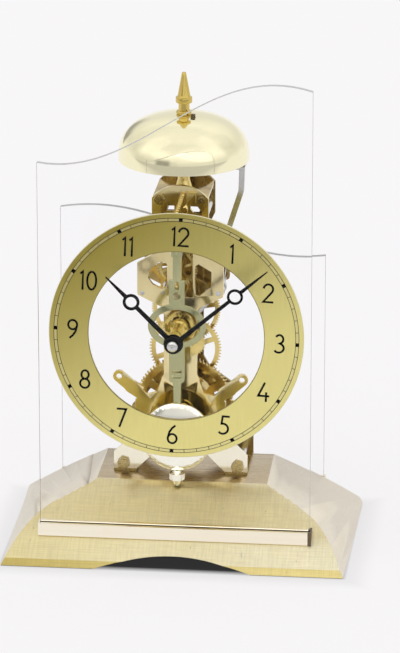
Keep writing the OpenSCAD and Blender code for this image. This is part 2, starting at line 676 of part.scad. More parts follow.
// Strap with a clip at the top, the oval loop round the hour pipe and the lower tongue
loop_z = centre_z + 4.1;
strap_top = swing_z - 2;
clip_h = 5;
tongue_w = 7.6;
upper_wide_z = centre_z + 27.6;
tongue_low = centre_z - 25;
crutch_z = centre_z + 24.6;
screw_z = centre_z + 19.6;
rod_top = centre_z - 21.4;
rod_w = 3.9;
module strap_outline() difference() {
    union() {
        translate([-strap_w / 2, upper_wide_z - 1]) square([strap_w, strap_top - upper_wide_z + 1]);
        translate([-tongue_w / 2, loop_z + loop_h / 2 - loop_band])
            square([tongue_w, upper_wide_z - loop_z - loop_h / 2 + loop_band]);
        translate([0, loop_z]) difference() {
            scale([1, loop_h / loop_w]) circle(d = loop_w, $fn = 72);
            scale([1, (loop_h - 2 * loop_band) / (loop_w - 2 * loop_band)])
                circle(d = loop_w - 2 * loop_band, $fn = 72);
        }
        translate([-tongue_w / 2, tongue_low + tongue_w / 4])
            square([tongue_w, loop_z - loop_h / 2 + loop_band - tongue_low - tongue_w / 4]);
        translate([-tongue_w / 4, tongue_low]) square([tongue_w / 2, tongue_w / 4 + tiny]);
        for (s = [-1, 1]) translate([s * tongue_w / 4, tongue_low + tongue_w / 4]) circle(r = tongue_w / 4);
    }
    translate([0, crutch_z]) square([2, 4], center = true);
    translate([0, screw_z]) circle(r = 1.9);
    translate([-2.2, rod_top - 1.4]) square([4.4, 4]);
}
module pendulum_strap() color("#b7b49c") in_place() {
    difference() {
        slab(pend_y - strap_t / 2, strap_t) strap_outline();
        translate([-spring_t / 2 - flex_gap, pend_y - over, swing_z - 3 - flex_gap])
            cube([spring_t + 2 * flex_gap, 2 * over, clip_h]);
    }
    difference() {
        translate([-2.6, pend_y - 2, strap_top - clip_h]) cube([5.2, 4, clip_h]);
        translate([-spring_t / 2 - flex_gap, pend_y - spring_w / 2 - flex_gap, swing_z - 3 - flex_gap])
            cube([spring_t + 2 * flex_gap, spring_w + 2 * flex_gap, clip_h]);
    }
}
// Rod hooked in the tongue, behind it and down through the bob to the rating thread
rod_t = 0.8;
thread_r = 1.1;
rating_top = bob_z - bob_r - 1.5;
rating_h = 3.1;
cone_h = 2.6;
rod_low = bob_z - bob_r + 4;
thread_low = rating_top - rating_h - cone_h - 0.9;
module pendulum_rod() color("#c4c1ac") in_place() {
    rod_y = pend_y + strap_t / 2;
    translate([-rod_w / 2, rod_y, rod_low]) cube([rod_w, rod_t, rod_top + 1.8 - rod_low]);
    translate([-2.1, pend_y - strap_t / 2 - 0.4, rod_top + 0.6]) cube([4.2, strap_t + 0.4 + tiny, 1.2]);
    translate([0, pend_y, thread_low]) cylinder(r = thread_r, h = bob_z - bob_r + 6 - thread_low);
}
module pendulum_bob() color("#e8e0c4") in_place() difference() {
    translate([0, pend_y - bob_t / 2, bob_z]) rotate([-90, 0, 0]) rotate_extrude($fn = 96)
        polygon([[0, 0], [bob_r - 2.4, 0], [bob_r, 1.1], [bob_r, bob_t - 1.1], [bob_r - 2.4, bob_t],
            [0, bob_t]]);
    translate([-rod_w / 2 - seat_gap, pend_y + strap_t / 2 - seat_gap, rod_low - seat_gap])
        cube([rod_w + 2 * seat_gap, bob_t, 2 * bob_r]);
    translate([0, pend_y, bob_z - bob_r - over]) cylinder(r = thread_r + seat_gap, h = over + 6 + seat_gap);
}
module rating_nut() color("#cbb56a") in_place() translate([0, pend_y, rating_top - rating_h - cone_h])
    difference() {
        union() {
            cylinder(r1 = 1.5, r2 = 2.6, h = cone_h);
            translate([0, 0, cone_h]) linear_extrude(rating_h) teeth(28, 0.264, 0, 0.5, 0.3, 0.3, 0.16);
            translate([0, 0, cone_h + rating_h]) cylinder(r = 1.9, h = 1.4);
        }
        translate([0, 0, -over]) cylinder(r = thread_r + run_gap, h = rating_h + cone_h + 4 * over);
    }

// Barrel
drum_wall = 1;
module barrel_drum() color("#cf9f3a") in_place() translate([0, drum_y, great_z]) rotate([-90, 0, 0])
    difference() {
        cylinder(r = drum_r, h = drum_len, $fn = 96);
        translate([0, 0, -over]) cylinder(r = drum_r - drum_wall, h = drum_len - drum_wall + over, $fn = 96);
        cylinder(r = barrel_arbor_r + run_gap, h = drum_len + over);
    }
module great_wheel() color("#d3c07a") in_place() slab(great_y, great_t) translate([0, great_z])
    wheel(great_n, great_m, great_first, 6, 3.2, drum_r - 4, barrel_arbor_r + run_gap, 30, 4);
module barrel_cover() color("#d6ab4a") in_place() translate([0, drum_y - 1, great_z]) rotate([-90, 0, 0])
    difference() {
        union() {
            cylinder(r = drum_r, h = 1, $fn = 96);
            cylinder(r = drum_r - drum_wall - seat_gap, h = 2, $fn = 96);
        }
        translate([0, 0, -over]) cylinder(r = barrel_arbor_r + run_gap, h = 4);
    }
hub_r = 5;
module mainspring() color("#5b6470") in_place() translate([0, drum_y + 1.4, great_z]) rotate([-90, 0, 0])
    difference() {
        cylinder(r = drum_r - drum_wall - 0.3, h = drum_len - drum_wall - 1.8, $fn = 64);
        translate([0, 0, -over]) cylinder(r = hub_r + 0.3, h = drum_len);
    }
module barrel_arbor() color("#b5b8bd") in_place() {
    bar(0, great_z, plate_y - 0.4, back_out_y, barrel_arbor_r);
    bar(0, great_z, drum_y + 1.4, great_y - drum_wall - 0.4, hub_r);
    bar(0, great_z, inner_y + end_play, drum_y - 1 - end_play, barrel_arbor_r + 1);
    bar(0, great_z, great_y + great_t + end_play, back_y - end_play, barrel_arbor_r + 1);
    side = barrel_arbor_r * sqrt(2) - 0.2;
    room = rear_glass_y - glass_t / 2 - back_out_y - 0.8;
    translate([-side / 2, back_out_y, great_z - side / 2]) cube([side, min(square_out, room), side]);
}
ratchet_t = 1.5;
ratchet_r = 8;
ratchet_y = back_out_y + end_play;
ratchet_side = barrel_arbor_r * sqrt(2) - 0.2 + 2 * seat_gap;
ratchet_in = 6.9;
ratchet_step = 360 / ratchet_n;
module ratchet_wheel() color("#b0a468") in_place() slab(ratchet_y, ratchet_t) translate([0, great_z])
    difference() {
        polygon([for (i = [0:ratchet_n - 1])
            each [polar(ratchet_r, (i + 0.1) * ratchet_step), polar(ratchet_in, (i + 0.86) * ratchet_step)]]);
        square(ratchet_side, center = true);
    }
click_at = [13.6, great_z + 8.6];
click_spring_at = [17.2, great_z - 6];
nose_ang = 15;
nose = [polar(ratchet_r + 0.3, nose_ang)[0], great_z + polar(ratchet_r + 0.3, nose_ang)[1]];
module click() color("#9a8f5f") in_place() slab(ratchet_y, ratchet_t) difference() {
    union() {
        translate(click_at) circle(r = 2.6);
        polygon([click_at + [-2, -1.6], nose + [0.1, 0.9], nose, nose + [1.4, -0.2], click_at + [2.2, -1.4]]);
    }
    translate(click_at) circle(r = 1 + run_gap);
}
module click_screw() color("#c9c6bb") in_place() {
    bar(click_at[0], click_at[1], back_y, ratchet_y + ratchet_t + 0.2, 1);
    bar(click_at[0], click_at[1], ratchet_y + ratchet_t + 0.2, ratchet_y + ratchet_t + 1.2, 2);
}
module click_spring() color("#8f9296") in_place() {
    bar(click_spring_at[0], click_spring_at[1], back_y, back_out_y + 0.3, 1);
    slab(back_out_y + 0.3, 0.9) {
        translate(click_spring_at) circle(r = 2);
        strip(click_spring_at, click_spring_at + [0.2, 7], 0.6);
        strip(click_spring_at + [0.2, 6.8], click_spring_at + [-2.2, 11.2], 0.6);
    }
}

// Train arbors: thick between the plates, thin pivots in the plates
module arbor(x, z, y0, y1, r) {
    bar(x, z, inner_y + end_play, back_y - end_play, r);
    bar(x, z, y0, inner_y + end_play, pivot_r);
    bar(x, z, back_y - end_play, y1, pivot_r);
}
module pinion(x, z, y0, y1, n, m, first) slab(y0, y1 - y0) translate([x, z]) leaves(n, m, first);
module collar(x, z, y0, y1, r) bar(x, z, y0, y1, r);
wheel_seat = 2.2;
module intermediate_wheel() color("#c8b767") in_place() slab(inter_wheel_y, wheel_t) translate([0, inter_z])
    wheel(inter_n, inter_m, inter_wheel_first, 4, 2, 4.2, wheel_seat + seat_gap, 20, 2.4);
module intermediate_arbor() color("#b5b8bd") in_place() {
    arbor(0, inter_z, plate_y, back_out_y, arbor_r);
    pinion(0, inter_z, great_y - 2, inter_wheel_y - 0.4, inter_pinion_n, great_m, inter_first);
    collar(0, inter_z, inter_wheel_y - 0.4, inter_wheel_y + wheel_t + 0.6, wheel_seat);
}
module centre_wheel() color("#c8b767") in_place() slab(centre_wheel_y, wheel_t) translate([0, centre_z])
    wheel(centre_n, centre_m, centre_wheel_first, 4, 1.8, 4, wheel_seat + seat_gap, 10, 2.2);
cannon_y = plate_y - 6;
hand_square_r = 1;
nut_front = 0.9;
module centre_arbor() color("#b5b8bd") in_place() {
    bar(0, centre_z, cannon_y, back_y - end_play, arbor_r);
    bar(0, centre_z, back_y - end_play, back_out_y, pivot_r);
    bar(0, centre_z, inner_y + end_play, inter_wheel_y - 1.4, arbor_r + 0.6);
    pinion(0, centre_z, inter_wheel_y - 1.4, centre_wheel_y - 0.4, centre_pinion_n, inter_m, centre_first);
    collar(0, centre_z, centre_wheel_y - 0.4, centre_wheel_y + wheel_t + 0.6, wheel_seat);
    bar(0, centre_z, minute_hand_y - hand_t - nut_t + nut_front + seat_gap, cannon_y, hand_square_r);
}
cannon_teeth_y = plate_y - 3.2;
cannon_r = 1.9;
module cannon_pinion() color("#c4c2b8") in_place() difference() {
    union() {
        pinion(0, centre_z, cannon_teeth_y, plate_y - 0.6, cannon_n, motion_m, cannon_first);
        bar(0, centre_z, minute_hand_y - hand_t, cannon_teeth_y, cannon_r);
    }
    bar(0, centre_z, cannon_y, plate_y, arbor_r + seat_gap);
    bar(0, centre_z, minute_hand_y - hand_t - over, cannon_y + tiny, hand_square_r + seat_gap);
}
cam_r = 5.4;
module strike_cam() color("#b9a860") in_place() slab(cam_y, cam_t) translate([0, centre_z]) difference() {
    union() {
        circle(r = 3.4);
        for (s = [0, 180]) rotate(s - 60)
            polygon([[0, 0], [3.2, -1.2], [cam_r, -0.4], [cam_r, 0.5], [2.6, 2.1]]);
    }
    circle(r = arbor_r + 0.6 + seat_gap);
}
module third_wheel() color("#c8b767") in_place() slab(third_wheel_y, third_t) translate([third_x, third_z])
    wheel(third_n, third_m, third_wheel_first, 4, 1.4, 2.8, 1.6 + seat_gap, 40, 1.6);
module third_arbor() color("#b5b8bd") in_place() {
    arbor(third_x, third_z, plate_y, back_out_y, 0.9);
    collar(third_x, third_z, third_wheel_y - 0.4, third_wheel_y + third_t + 0.4, 1.6);
    pinion(third_x, third_z, centre_wheel_y - 1, back_y - end_play, third_pinion_n, centre_m, third_first);
}
escape_step = 360 / escape_n;
escape_root = escape_r - 1.5;
escape_wheel_first = 0;
module escape_wheel() color("#c8b767") in_place() slab(escape_wheel_y, escape_t)
    translate([escape_x, escape_z]) difference() {
        polygon([for (i = [0:escape_n - 1]) each [
            polar(escape_root, (i - 0.42) * escape_step),
            polar(escape_r, (i - 0.06) * escape_step),
            polar(escape_r, (i + 0.06) * escape_step),
            polar(escape_root, (i + 0.2) * escape_step)]]);
        difference() {
            circle(r = escape_root - 1.2);
            circle(r = 2.6);
            for (i = [0:3]) rotate(15 + 90 * i) translate([0, -0.7]) square([escape_r, 1.4]);
        }
        circle(r = 1.4 + seat_gap);
    }
module escape_arbor() color("#b5b8bd") in_place() {
    bar(escape_x, escape_z, inner_y + end_play, back_y - end_play, 0.8);
    bar(escape_x, escape_z, plate_y, inner_y + end_play, pivot_r);
    bar(escape_x, escape_z, back_y - end_play, back_out_y, pivot_r);
    collar(escape_x, escape_z, escape_wheel_y - 0.4, escape_wheel_y + escape_t + 0.4, 1.4);
    pinion(escape_x, escape_z, third_wheel_y - 1.6, third_wheel_y + third_t + 1.6, escape_pinion_n,
        third_m, escape_first);
}

// Anchor: two arms from the swinging arbor to pallets that stand just off the circle of the tooth tips
escape_at = [escape_x, escape_z];
swing_at = [0, swing_z];
to_wheel = escape_at - swing_at;
wheel_far = norm(to_wheel);
line_ang = atan2(-to_wheel[1], -to_wheel[0]);
swing_half = 2.5;
pallet_off = 0.75;
pallet_span = acos(escape_r / wheel_far) - 3;
module anchor_arm(s) {
    tip = escape_at + polar(escape_r + pallet_off, line_ang + s * pallet_span);
    out = escape_at + polar(escape_r + pallet_off + 1.7, line_ang + s * pallet_span);
    elbow = escape_at + polar(escape_r + 5.2, line_ang + s * (pallet_span - 10));
    strip(swing_at, elbow, 2.2);
    translate(elbow) circle(r = 1.1);
    strip(elbow, out, 2.2);
    translate(out) circle(r = 1.1);
    aside = polar(0.7, line_ang + s * (pallet_span + 90));
    strip(tip + aside, out + aside, 1.4);
}
module anchor() color("#8d9095") in_place() slab(escape_wheel_y - 0.3, escape_t + 0.6) difference() {
    union() {
        translate(swing_at) circle(r = 2.8);
        for (s = [-1, 1]) anchor_arm(s);
    }
    translate(swing_at) circle(r = arbor_r + 0.3 + seat_gap);
}
crutch_t = 0.9;
crutch_y = plate_y - 2.6;
module anchor_arbor() color("#b5b8bd") in_place() {
    bar(0, swing_z, inner_y + end_play, back_y - end_play, arbor_r + 0.3);
    bar(0, swing_z, back_y - end_play, back_out_y, arbor_r);
    bar(0, swing_z, crutch_y - 0.6, inner_y + end_play, arbor_r);
}
module crutch() color("#b9a860") in_place() {
    slab(crutch_y, crutch_t) difference() {
        union() {
            translate([0, swing_z]) circle(r = 2.1);
            strip([0, swing_z], [0, crutch_z], 2.2);
            translate([0, crutch_z]) circle(r = 1.1);
        }
        translate([0, swing_z]) circle(r = arbor_r + seat_gap);
    }
    bar(0, crutch_z, pend_y - strap_t / 2 - 0.6, crutch_y, pin_r);
}

// Motion work behind the hands
pipe_wall = 0.8;
hour_wheel_y = cannon_teeth_y - 0.5 - 1;
module hour_wheel() color("#cf9f3a") in_place() difference() {
    union() {
        slab(hour_wheel_y, 1) translate([0, centre_z])
            wheel(hour_n, hour_m, hour_first, 3, 1.5, 4.4, tiny, 80, 2);
        bar(0, centre_z, hour_hand_y - hand_t, hour_wheel_y + 1, pipe_r);
        bar(0, centre_z, hour_wheel_y - 2.4, hour_wheel_y, 4.2);
    }
    bar(0, centre_z, hour_hand_y - hand_t - over, hour_wheel_y + 1 + over, cannon_r + run_gap);
}
minute_wheel_y = cannon_teeth_y + 0.6;
module minute_wheel() color("#c8b767") in_place() difference() {
    union() {
        slab(minute_wheel_y, 1) translate([minute_x, minute_z]) teeth(minute_n, motion_m, minute_first);
        pinion(minute_x, minute_z, hour_wheel_y - 0.4, minute_wheel_y, minute_pinion_n, hour_m,
            minute_pinion_first);
    }
    bar(minute_x, minute_z, hour_wheel_y - over, minute_wheel_y + 1 + over, 0.8 + run_gap);
}
module minute_stud() color("#b5b8bd") in_place() {
    bar(minute_x, minute_z, hour_wheel_y - 0.6, inner_y, 0.8);
    bar(minute_x, minute_z, hour_wheel_y - 1.2, hour_wheel_y - 0.6, 1.3);
}

// Hands with their rings
module hand(len, ring_at, ring_out, ring_in, root_w, tip_w, hub, bore, at) rotate(90 - at) difference() {
    union() {
        circle(r = hub);
        polygon([[0, -root_w / 2], [ring_at - ring_in, -tip_w / 2 - 0.1],
            [ring_at - ring_in, tip_w / 2 + 0.1], [0, root_w / 2]]);
        translate([ring_at, 0]) difference() {
            circle(r = ring_out);
            circle(r = ring_in);
        }
        polygon([[ring_at + ring_in + 0.3, -tip_w / 2 - 0.2], [len, -0.25], [len, 0.25],
            [ring_at + ring_in + 0.3, tip_w / 2 + 0.2]]);
    }
    circle(r = bore);
}
module hour_hand() color("#111111") in_place() slab(hour_hand_y - hand_t, hand_t) translate([0, centre_z])
    hand(hour_len, 29, 4.1, 2.7, 2.6, 1.7, 4.8, pipe_r + seat_gap, hour_at);
module minute_hand() color("#111111") in_place() slab(minute_hand_y - hand_t, hand_t) translate([0, centre_z])
    hand(minute_len, 39.5, 3.9, 2.7, 2.3, 1.45, 4.4, cannon_r + seat_gap, minute_at);
module hand_nut() color("#c9c6bb") in_place() translate([0, minute_hand_y - hand_t - nut_t, centre_z])
    rotate([-90, 0, 0]) difference() {
        rotate_extrude() polygon([[0, 0], [1.7, 0], [2.6, 0.8], [2.6, nut_t], [0, nut_t]]);
        translate([0, 0, nut_front]) cylinder(r = hand_square_r + seat_gap, h = nut_t);
        translate([0, 0, -over]) cylinder(r = 0.5, h = 2 * over);
    }

// Hammer: a hub on its arbor, a bent strip up to the bell and a head inside the bell
hammer_y = mid_y - 6;
strip_d = 3;
head_r = 2.6;
head_z = rim_z - 0.4;
head_len = 6;
inner_rim = bell_r - bell_wall;
head_y = mid_y;
head_x = inner_rim - strike_gap - head_r - 0.35;
bend_low = [22.6, centre_z + 46.6];
bend_high = [28.7, centre_z + 66];
strip_top = rim_z - 3.2;
module hammer_arm() color("#8f8f88") in_place() {
    slab(hammer_y, strip_d) difference() {
        union() {
            translate([hammer_x, hammer_z]) circle(r = 3);
            strip([hammer_x, hammer_z], bend_low, hammer_w);
            translate(bend_low) circle(d = hammer_w);
            strip(bend_low, bend_high, hammer_w);
            translate(bend_high) circle(d = hammer_w);
            strip(bend_high, [bend_high[0] + 0.4, strip_top], hammer_w);
        }
        translate([hammer_x, hammer_z]) circle(r = arbor_r + 0.3 + seat_gap);
    }
    translate([head_x - 3.4, hammer_y, strip_top - 0.2])
        cube([bend_high[0] + 0.4 + hammer_w / 2 - head_x + 3.4, head_y + 3 - hammer_y, 1.4]);
}
module hammer_head() color("#77797c") in_place() translate([head_x, head_y, strip_top + 1.2]) {
    cylinder(r = head_r, h = head_len + 1);
}
module hammer_arbor() color("#b5b8bd") in_place() {
    bar(hammer_x, hammer_z, inner_y + end_play, back_y - end_play, arbor_r + 0.3);
    bar(hammer_x, hammer_z, plate_y, inner_y + end_play, arbor_r);
    bar(hammer_x, hammer_z, back_y - end_play, back_out_y, arbor_r);
    tail = [cam_r + 1.4, centre_z + 3.2];
    slab(cam_y, cam_t) {
        translate([hammer_x, hammer_z]) circle(r = 2.8);
        strip([hammer_x, hammer_z], tail, 1.8);
        translate(tail) circle(r = 0.9);
    }
}
module hammer_spring() color("#8f9296") in_place() {
    spring_x = hammer_x + 2.2;
    slab(back_out_y, 0.6) translate([15.5, centre_z + 18]) circle(r = 2);
    slab(back_out_y + 0.6, 0.5) {
        translate([15.5, centre_z + 18]) circle(r = 2.6);
        strip([15.5, centre_z + 18], [spring_x, centre_z + 30.5], 0.8);
    }
}

base_body();
front_panel();
felt_pads();
front_rail();
rear_rail();
front_glass();
rear_glass();
foot_strips();
movement_screws();
front_plate();
back_plate();
pillars();
foot_nuts();
plate_screws();
dial_ring();
dial_posts();
bell_bridge();
bridge_screws();
bell_post();
bell();
finial();
suspension_block();
leaning_screw();
click_spring();
hammer_spring();
click_screw();
minute_stud();
barrel_drum();
great_wheel();
barrel_cover();
mainspring();
barrel_arbor();
ratchet_wheel();
click();
intermediate_wheel();
intermediate_arbor();
centre_wheel();
centre_arbor();
cannon_pinion();
strike_cam();
minute_hand();
hand_nut();
third_wheel();
third_arbor();
escape_wheel();
escape_arbor();
anchor();
anchor_arbor();
crutch();
minute_wheel();
hour_wheel();
hour_hand();
suspension_spring();
pendulum_strap();
pendulum_rod();
pendulum_bob();
rating_nut();
hammer_arm();
hammer_head();
hammer_arbor();
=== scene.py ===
"""Looks of the skeleton table clock: camera, light, finishes, bevelled edges and the print on the dial."""
import json
import math

import bmesh
import bpy
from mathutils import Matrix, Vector
from mathutils.bvhtree import BVHTree

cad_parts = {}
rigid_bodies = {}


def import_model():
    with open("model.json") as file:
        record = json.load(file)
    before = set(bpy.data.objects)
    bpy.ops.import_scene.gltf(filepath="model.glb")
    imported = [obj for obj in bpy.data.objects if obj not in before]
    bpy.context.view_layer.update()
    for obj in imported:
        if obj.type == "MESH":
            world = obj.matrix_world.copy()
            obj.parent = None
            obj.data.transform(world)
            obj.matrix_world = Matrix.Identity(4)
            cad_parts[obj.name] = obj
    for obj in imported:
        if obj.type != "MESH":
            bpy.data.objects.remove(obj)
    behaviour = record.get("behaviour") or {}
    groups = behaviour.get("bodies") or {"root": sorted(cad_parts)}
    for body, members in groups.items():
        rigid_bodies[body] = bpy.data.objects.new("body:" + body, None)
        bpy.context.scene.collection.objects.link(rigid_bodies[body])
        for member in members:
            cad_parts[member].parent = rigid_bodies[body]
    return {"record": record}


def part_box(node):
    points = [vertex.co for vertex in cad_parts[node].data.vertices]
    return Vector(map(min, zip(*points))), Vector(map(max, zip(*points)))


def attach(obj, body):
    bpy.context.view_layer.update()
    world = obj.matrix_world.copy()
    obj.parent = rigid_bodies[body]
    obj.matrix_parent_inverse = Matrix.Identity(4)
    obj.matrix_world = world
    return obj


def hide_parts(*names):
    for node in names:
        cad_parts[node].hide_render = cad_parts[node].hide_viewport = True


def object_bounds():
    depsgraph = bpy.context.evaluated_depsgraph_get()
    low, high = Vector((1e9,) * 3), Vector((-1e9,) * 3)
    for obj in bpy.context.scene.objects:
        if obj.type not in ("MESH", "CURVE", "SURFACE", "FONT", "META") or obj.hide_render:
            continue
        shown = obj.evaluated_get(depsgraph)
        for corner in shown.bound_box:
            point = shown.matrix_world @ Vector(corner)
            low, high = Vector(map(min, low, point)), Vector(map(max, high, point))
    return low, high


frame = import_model()
cad_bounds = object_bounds()
MM = 0.001
scene = bpy.context.scene
scene.view_settings.view_transform = "Standard"


# Camera, placed and turned as the photograph was taken
CAMERA_AT = (0.245605, -2.17863, 0.833543)
CAMERA_YAW = 6.212
CAMERA_PITCH = 18.291
FOCAL_PIXELS = 4718.48
FRAME_HEIGHT = 653
SENSOR = 36.0
FARTHEST_SEEN = 60

camera_data = bpy.data.cameras.new("camera")
camera_data.sensor_fit = "VERTICAL"
camera_data.sensor_height = SENSOR
camera_data.sensor_width = SENSOR
camera_data.lens = FOCAL_PIXELS * SENSOR / FRAME_HEIGHT
camera_data.clip_end = FARTHEST_SEEN
camera = bpy.data.objects.new("camera", camera_data)
camera.location = CAMERA_AT
camera.rotation_euler = (math.radians(90 - CAMERA_PITCH), 0, math.radians(CAMERA_YAW))
scene.collection.objects.link(camera)
scene.camera = camera


# Short ways to write node trees
def srgb(red, green, blue):
    """A colour written as it looks on screen, 0 to 255, as linear values for the shader."""
    return tuple(
        c / 12.92 if c <= 0.04045 else ((c + 0.055) / 1.055) ** 2.4
        for c in (red / 255, green / 255, blue / 255)
    ) + (1.0,)


def add(tree, kind, inputs=None, **settings):
    """Add a node and set its properties; each input is a plain value or another node's output."""
    node = tree.nodes.new(kind)
    for key, value in settings.items():
        setattr(node, key, value)
    for key, value in (inputs or {}).items():
        if isinstance(value, bpy.types.NodeSocket):
            tree.links.new(value, node.inputs[key])
        else:
            node.inputs[key].default_value = value
    return node


def calc(tree, operation, *numbers):
    """Result of one operation on numbers and other nodes' outputs."""
    return add(tree, "ShaderNodeMath", dict(enumerate(numbers)), operation=operation).outputs[0]


def between(tree, value, start, end, low=0.0, high=1.0, **settings):
    """Low where the value is at start, high where it is at end, and held beyond both."""
    inputs = {0: value, 1: start, 2: end, 3: low, 4: high}
    return add(tree, "ShaderNodeMapRange", inputs, **settings).outputs[0]


def blend(tree, mask, first, second):
    """The first colour where the mask is 0 and the second where it is 1."""
    return add(tree, "ShaderNodeMix", {0: mask, 6: first, 7: second}, data_type="RGBA").outputs[2]


def scaled(tree, colour, level):
    """A colour made brighter or darker."""
    return add(tree, "ShaderNodeVectorMath", {0: colour, "Scale": level}, operation="SCALE").outputs[0]


def multiplied(tree, vector, factors):
    """A vector with each of its axes scaled by its own factor."""
    return add(tree, "ShaderNodeVectorMath", {0: vector, 1: factors}, operation="MULTIPLY").outputs[0]


def axes(tree, vector):
    """The X, Y and Z of a vector."""
    return add(tree, "ShaderNodeSeparateXYZ", {0: vector}).outputs


def noise(tree, coordinates, scale, detail, roughness=0.5, distortion=0.0):
    inputs = {"Vector": coordinates, "Scale": scale, "Detail": detail, "Roughness": roughness,
              "Distortion": distortion}
    return add(tree, "ShaderNodeTexNoise", inputs).outputs[0]


def relief(tree, height, strength, depth):
    """Bumps as deep as the given millimetres."""
    inputs = {"Height": height, "Strength": strength, "Distance": depth * MM}
    return add(tree, "ShaderNodeBump", inputs).outputs[0]


def seen_directly(tree):
    """1 for rays from the camera, a mirror-like surface or glass, 0 for the light that falls on things."""
    path = add(tree, "ShaderNodeLightPath").outputs
    first = calc(tree, "MAXIMUM", path["Is Camera Ray"], path["Is Glossy Ray"])
    return calc(tree, "MAXIMUM", first, path["Is Transmission Ray"])


def new_material(name):
    """An empty material, its tree, and the piece's own coordinates in it."""
    material = bpy.data.materials.new(name)
    material.use_nodes = True
    tree = material.node_tree
    tree.nodes.clear()
    return material, tree, add(tree, "ShaderNodeTexCoord").outputs["Object"]


def principled(tree, inputs):
    """End the material in a Principled surface."""
    surface = add(tree, "ShaderNodeBsdfPrincipled", inputs)
    add(tree, "ShaderNodeOutputMaterial", {"Surface": surface.outputs[0]})


# Brightness of the room by the height of the direction, -1 straight down to 1 straight up
ROOM_IN_FRONT = [(-1.0, 0.80), (0.0, 0.80), (0.12, 0.82), (0.28, 0.98), (0.50, 1.14), (0.80, 1.04),
                 (0.93, 1.0), (1.0, 1.1)]
ROOM_BEHIND = [(-1.0, 0.80), (0.0, 0.95), (0.20, 0.80), (0.35, 0.80), (0.60, 0.95), (0.90, 1.05),
               (1.0, 1.08)]
ROOM_TINT = (1.0, 0.99, 0.97)
# Sideways directions over which the front of the room turns into its back
ROOM_TURN = 0.15
# Level of the light that falls on things
EVEN_LIGHT = (0.80, 0.80, 0.82, 1)
# Soft dim patches: scale of the noise, its values where a patch is full and where it ends, and the level
PATCH_SCALE = 1.5
PATCH_EDGE = (0.36, 0.50)
PATCH_LEVEL = 0.88
# A dim upright at the viewer's left, by its sideways slopes from straight ahead and its height
STAND_OUTER = (-1.05, -0.85)
STAND_INNER = (-0.28, -0.40)
STAND_TOP = (0.36, 0.18)
STAND_LEVEL = 0.45


def height_ramp(tree, height, stops):
    """Grey level by height, from a list of heights and levels."""
    ramp = add(tree, "ShaderNodeValToRGB", {0: between(tree, height, -1.0, 1.0)})
    while len(ramp.color_ramp.elements) < len(stops):
        ramp.color_ramp.elements.new(0.5)
    for element, (place, level) in zip(ramp.color_ramp.elements, stops):
        element.position = (place + 1) / 2
        element.color = tuple(level * share for share in ROOM_TINT) + (1,)
    return ramp.outputs[0]


def dim_stand(tree, split):
    """1 in most directions, and less where the upright stands, both ahead and behind."""
    ahead = calc(tree, "ABSOLUTE", split["Y"])
    slope = calc(tree, "DIVIDE", split["X"], ahead)
    inside = calc(tree, "MULTIPLY", between(tree, slope, *STAND_OUTER), between(tree, slope, *STAND_INNER))
    whole = calc(tree, "MULTIPLY", inside, between(tree, split["Z"], *STAND_TOP))
    return between(tree, whole, 0.0, 1.0, 1.0, STAND_LEVEL)


def make_world():
    """Pale studio: even light, and for reflections a bright ceiling, an upright and soft dim patches."""
    world = bpy.data.worlds.new("studio")
    scene.world = world
    world.use_nodes = True
    tree = world.node_tree
    tree.nodes.clear()
    direction = add(tree, "ShaderNodeTexCoord").outputs["Generated"]
    split = axes(tree, direction)
    behind = between(tree, split["Y"], -ROOM_TURN, ROOM_TURN, interpolation_type="SMOOTHSTEP")
    room = blend(tree, behind, height_ramp(tree, split["Z"], ROOM_IN_FRONT),
                 height_ramp(tree, split["Z"], ROOM_BEHIND))
    clouds = noise(tree, direction, PATCH_SCALE, 1.0, 0.4)
    patches = between(tree, clouds, *PATCH_EDGE, PATCH_LEVEL, 1.0)
    mirrored = scaled(tree, room, calc(tree, "MULTIPLY", patches, dim_stand(tree, split)))
    colour = blend(tree, seen_directly(tree), EVEN_LIGHT, mirrored)
    background = add(tree, "ShaderNodeBackground", {"Color": colour})
    add(tree, "ShaderNodeOutputWorld", {"Surface": background.outputs[0]})


LIT_POINT = Vector((0, 0, 0.1))


def make_lamp(name, energy, place, width):
    """A far lamp as wide as the given degrees, which mirror-like surfaces don't show."""
    data = bpy.data.lights.new(name, "SUN")
    data.energy = energy
    data.angle = math.radians(width)
    lamp = bpy.data.objects.new(name, data)
    lamp.location = place
    lamp.rotation_euler = (LIT_POINT - Vector(place)).to_track_quat("-Z", "Y").to_euler()
    lamp.visible_glossy = False
    scene.collection.objects.link(lamp)


FLOOR_REACH = 14
FLOOR_PALE = (0.19, 0.188, 0.189)
FLOOR_GLOW = (1.0, 0.985, 0.99, 1)
FLOOR_LIFT = 0.735
# Mirrored, the floor in front of the clock falls to a lower level from the near to the far place
MIRRORED_NEAR = -0.22
MIRRORED_FAR = -0.65
MIRRORED_LEVEL = 0.62
# Levels of the painted shadow on the floor inside the clock's outline and at its edge, and how far each
# change reaches
PAINTED_SHADOW_LEVEL = 0.04
PAINTED_SHADOW_EDGE_LEVEL = 0.90
PAINTED_SHADOW_REACH = 6 * MM
SHADE_REACH = 14 * MM


def under_base(tree, split):
    """Painted shadow on the floor: dark under the clock, a faint soft painted shade beside it, and 1
    elsewhere.
    """
    outside = []
    for axis, name in enumerate("XY"):
        half = (cad_bounds[1][axis] - cad_bounds[0][axis]) / 2
        outside.append(calc(tree, "SUBTRACT", calc(tree, "ABSOLUTE", split[name]), half))
    gap = calc(tree, "MAXIMUM", *outside)
    inner = between(tree, gap, -PAINTED_SHADOW_REACH, 0.0, PAINTED_SHADOW_LEVEL, PAINTED_SHADOW_EDGE_LEVEL)
    outer = between(tree, gap, 0.0, SHADE_REACH, 0.0, 1 - PAINTED_SHADOW_EDGE_LEVEL, interpolation_type="SMOOTHSTEP")
    return calc(tree, "ADD", inner, outer)


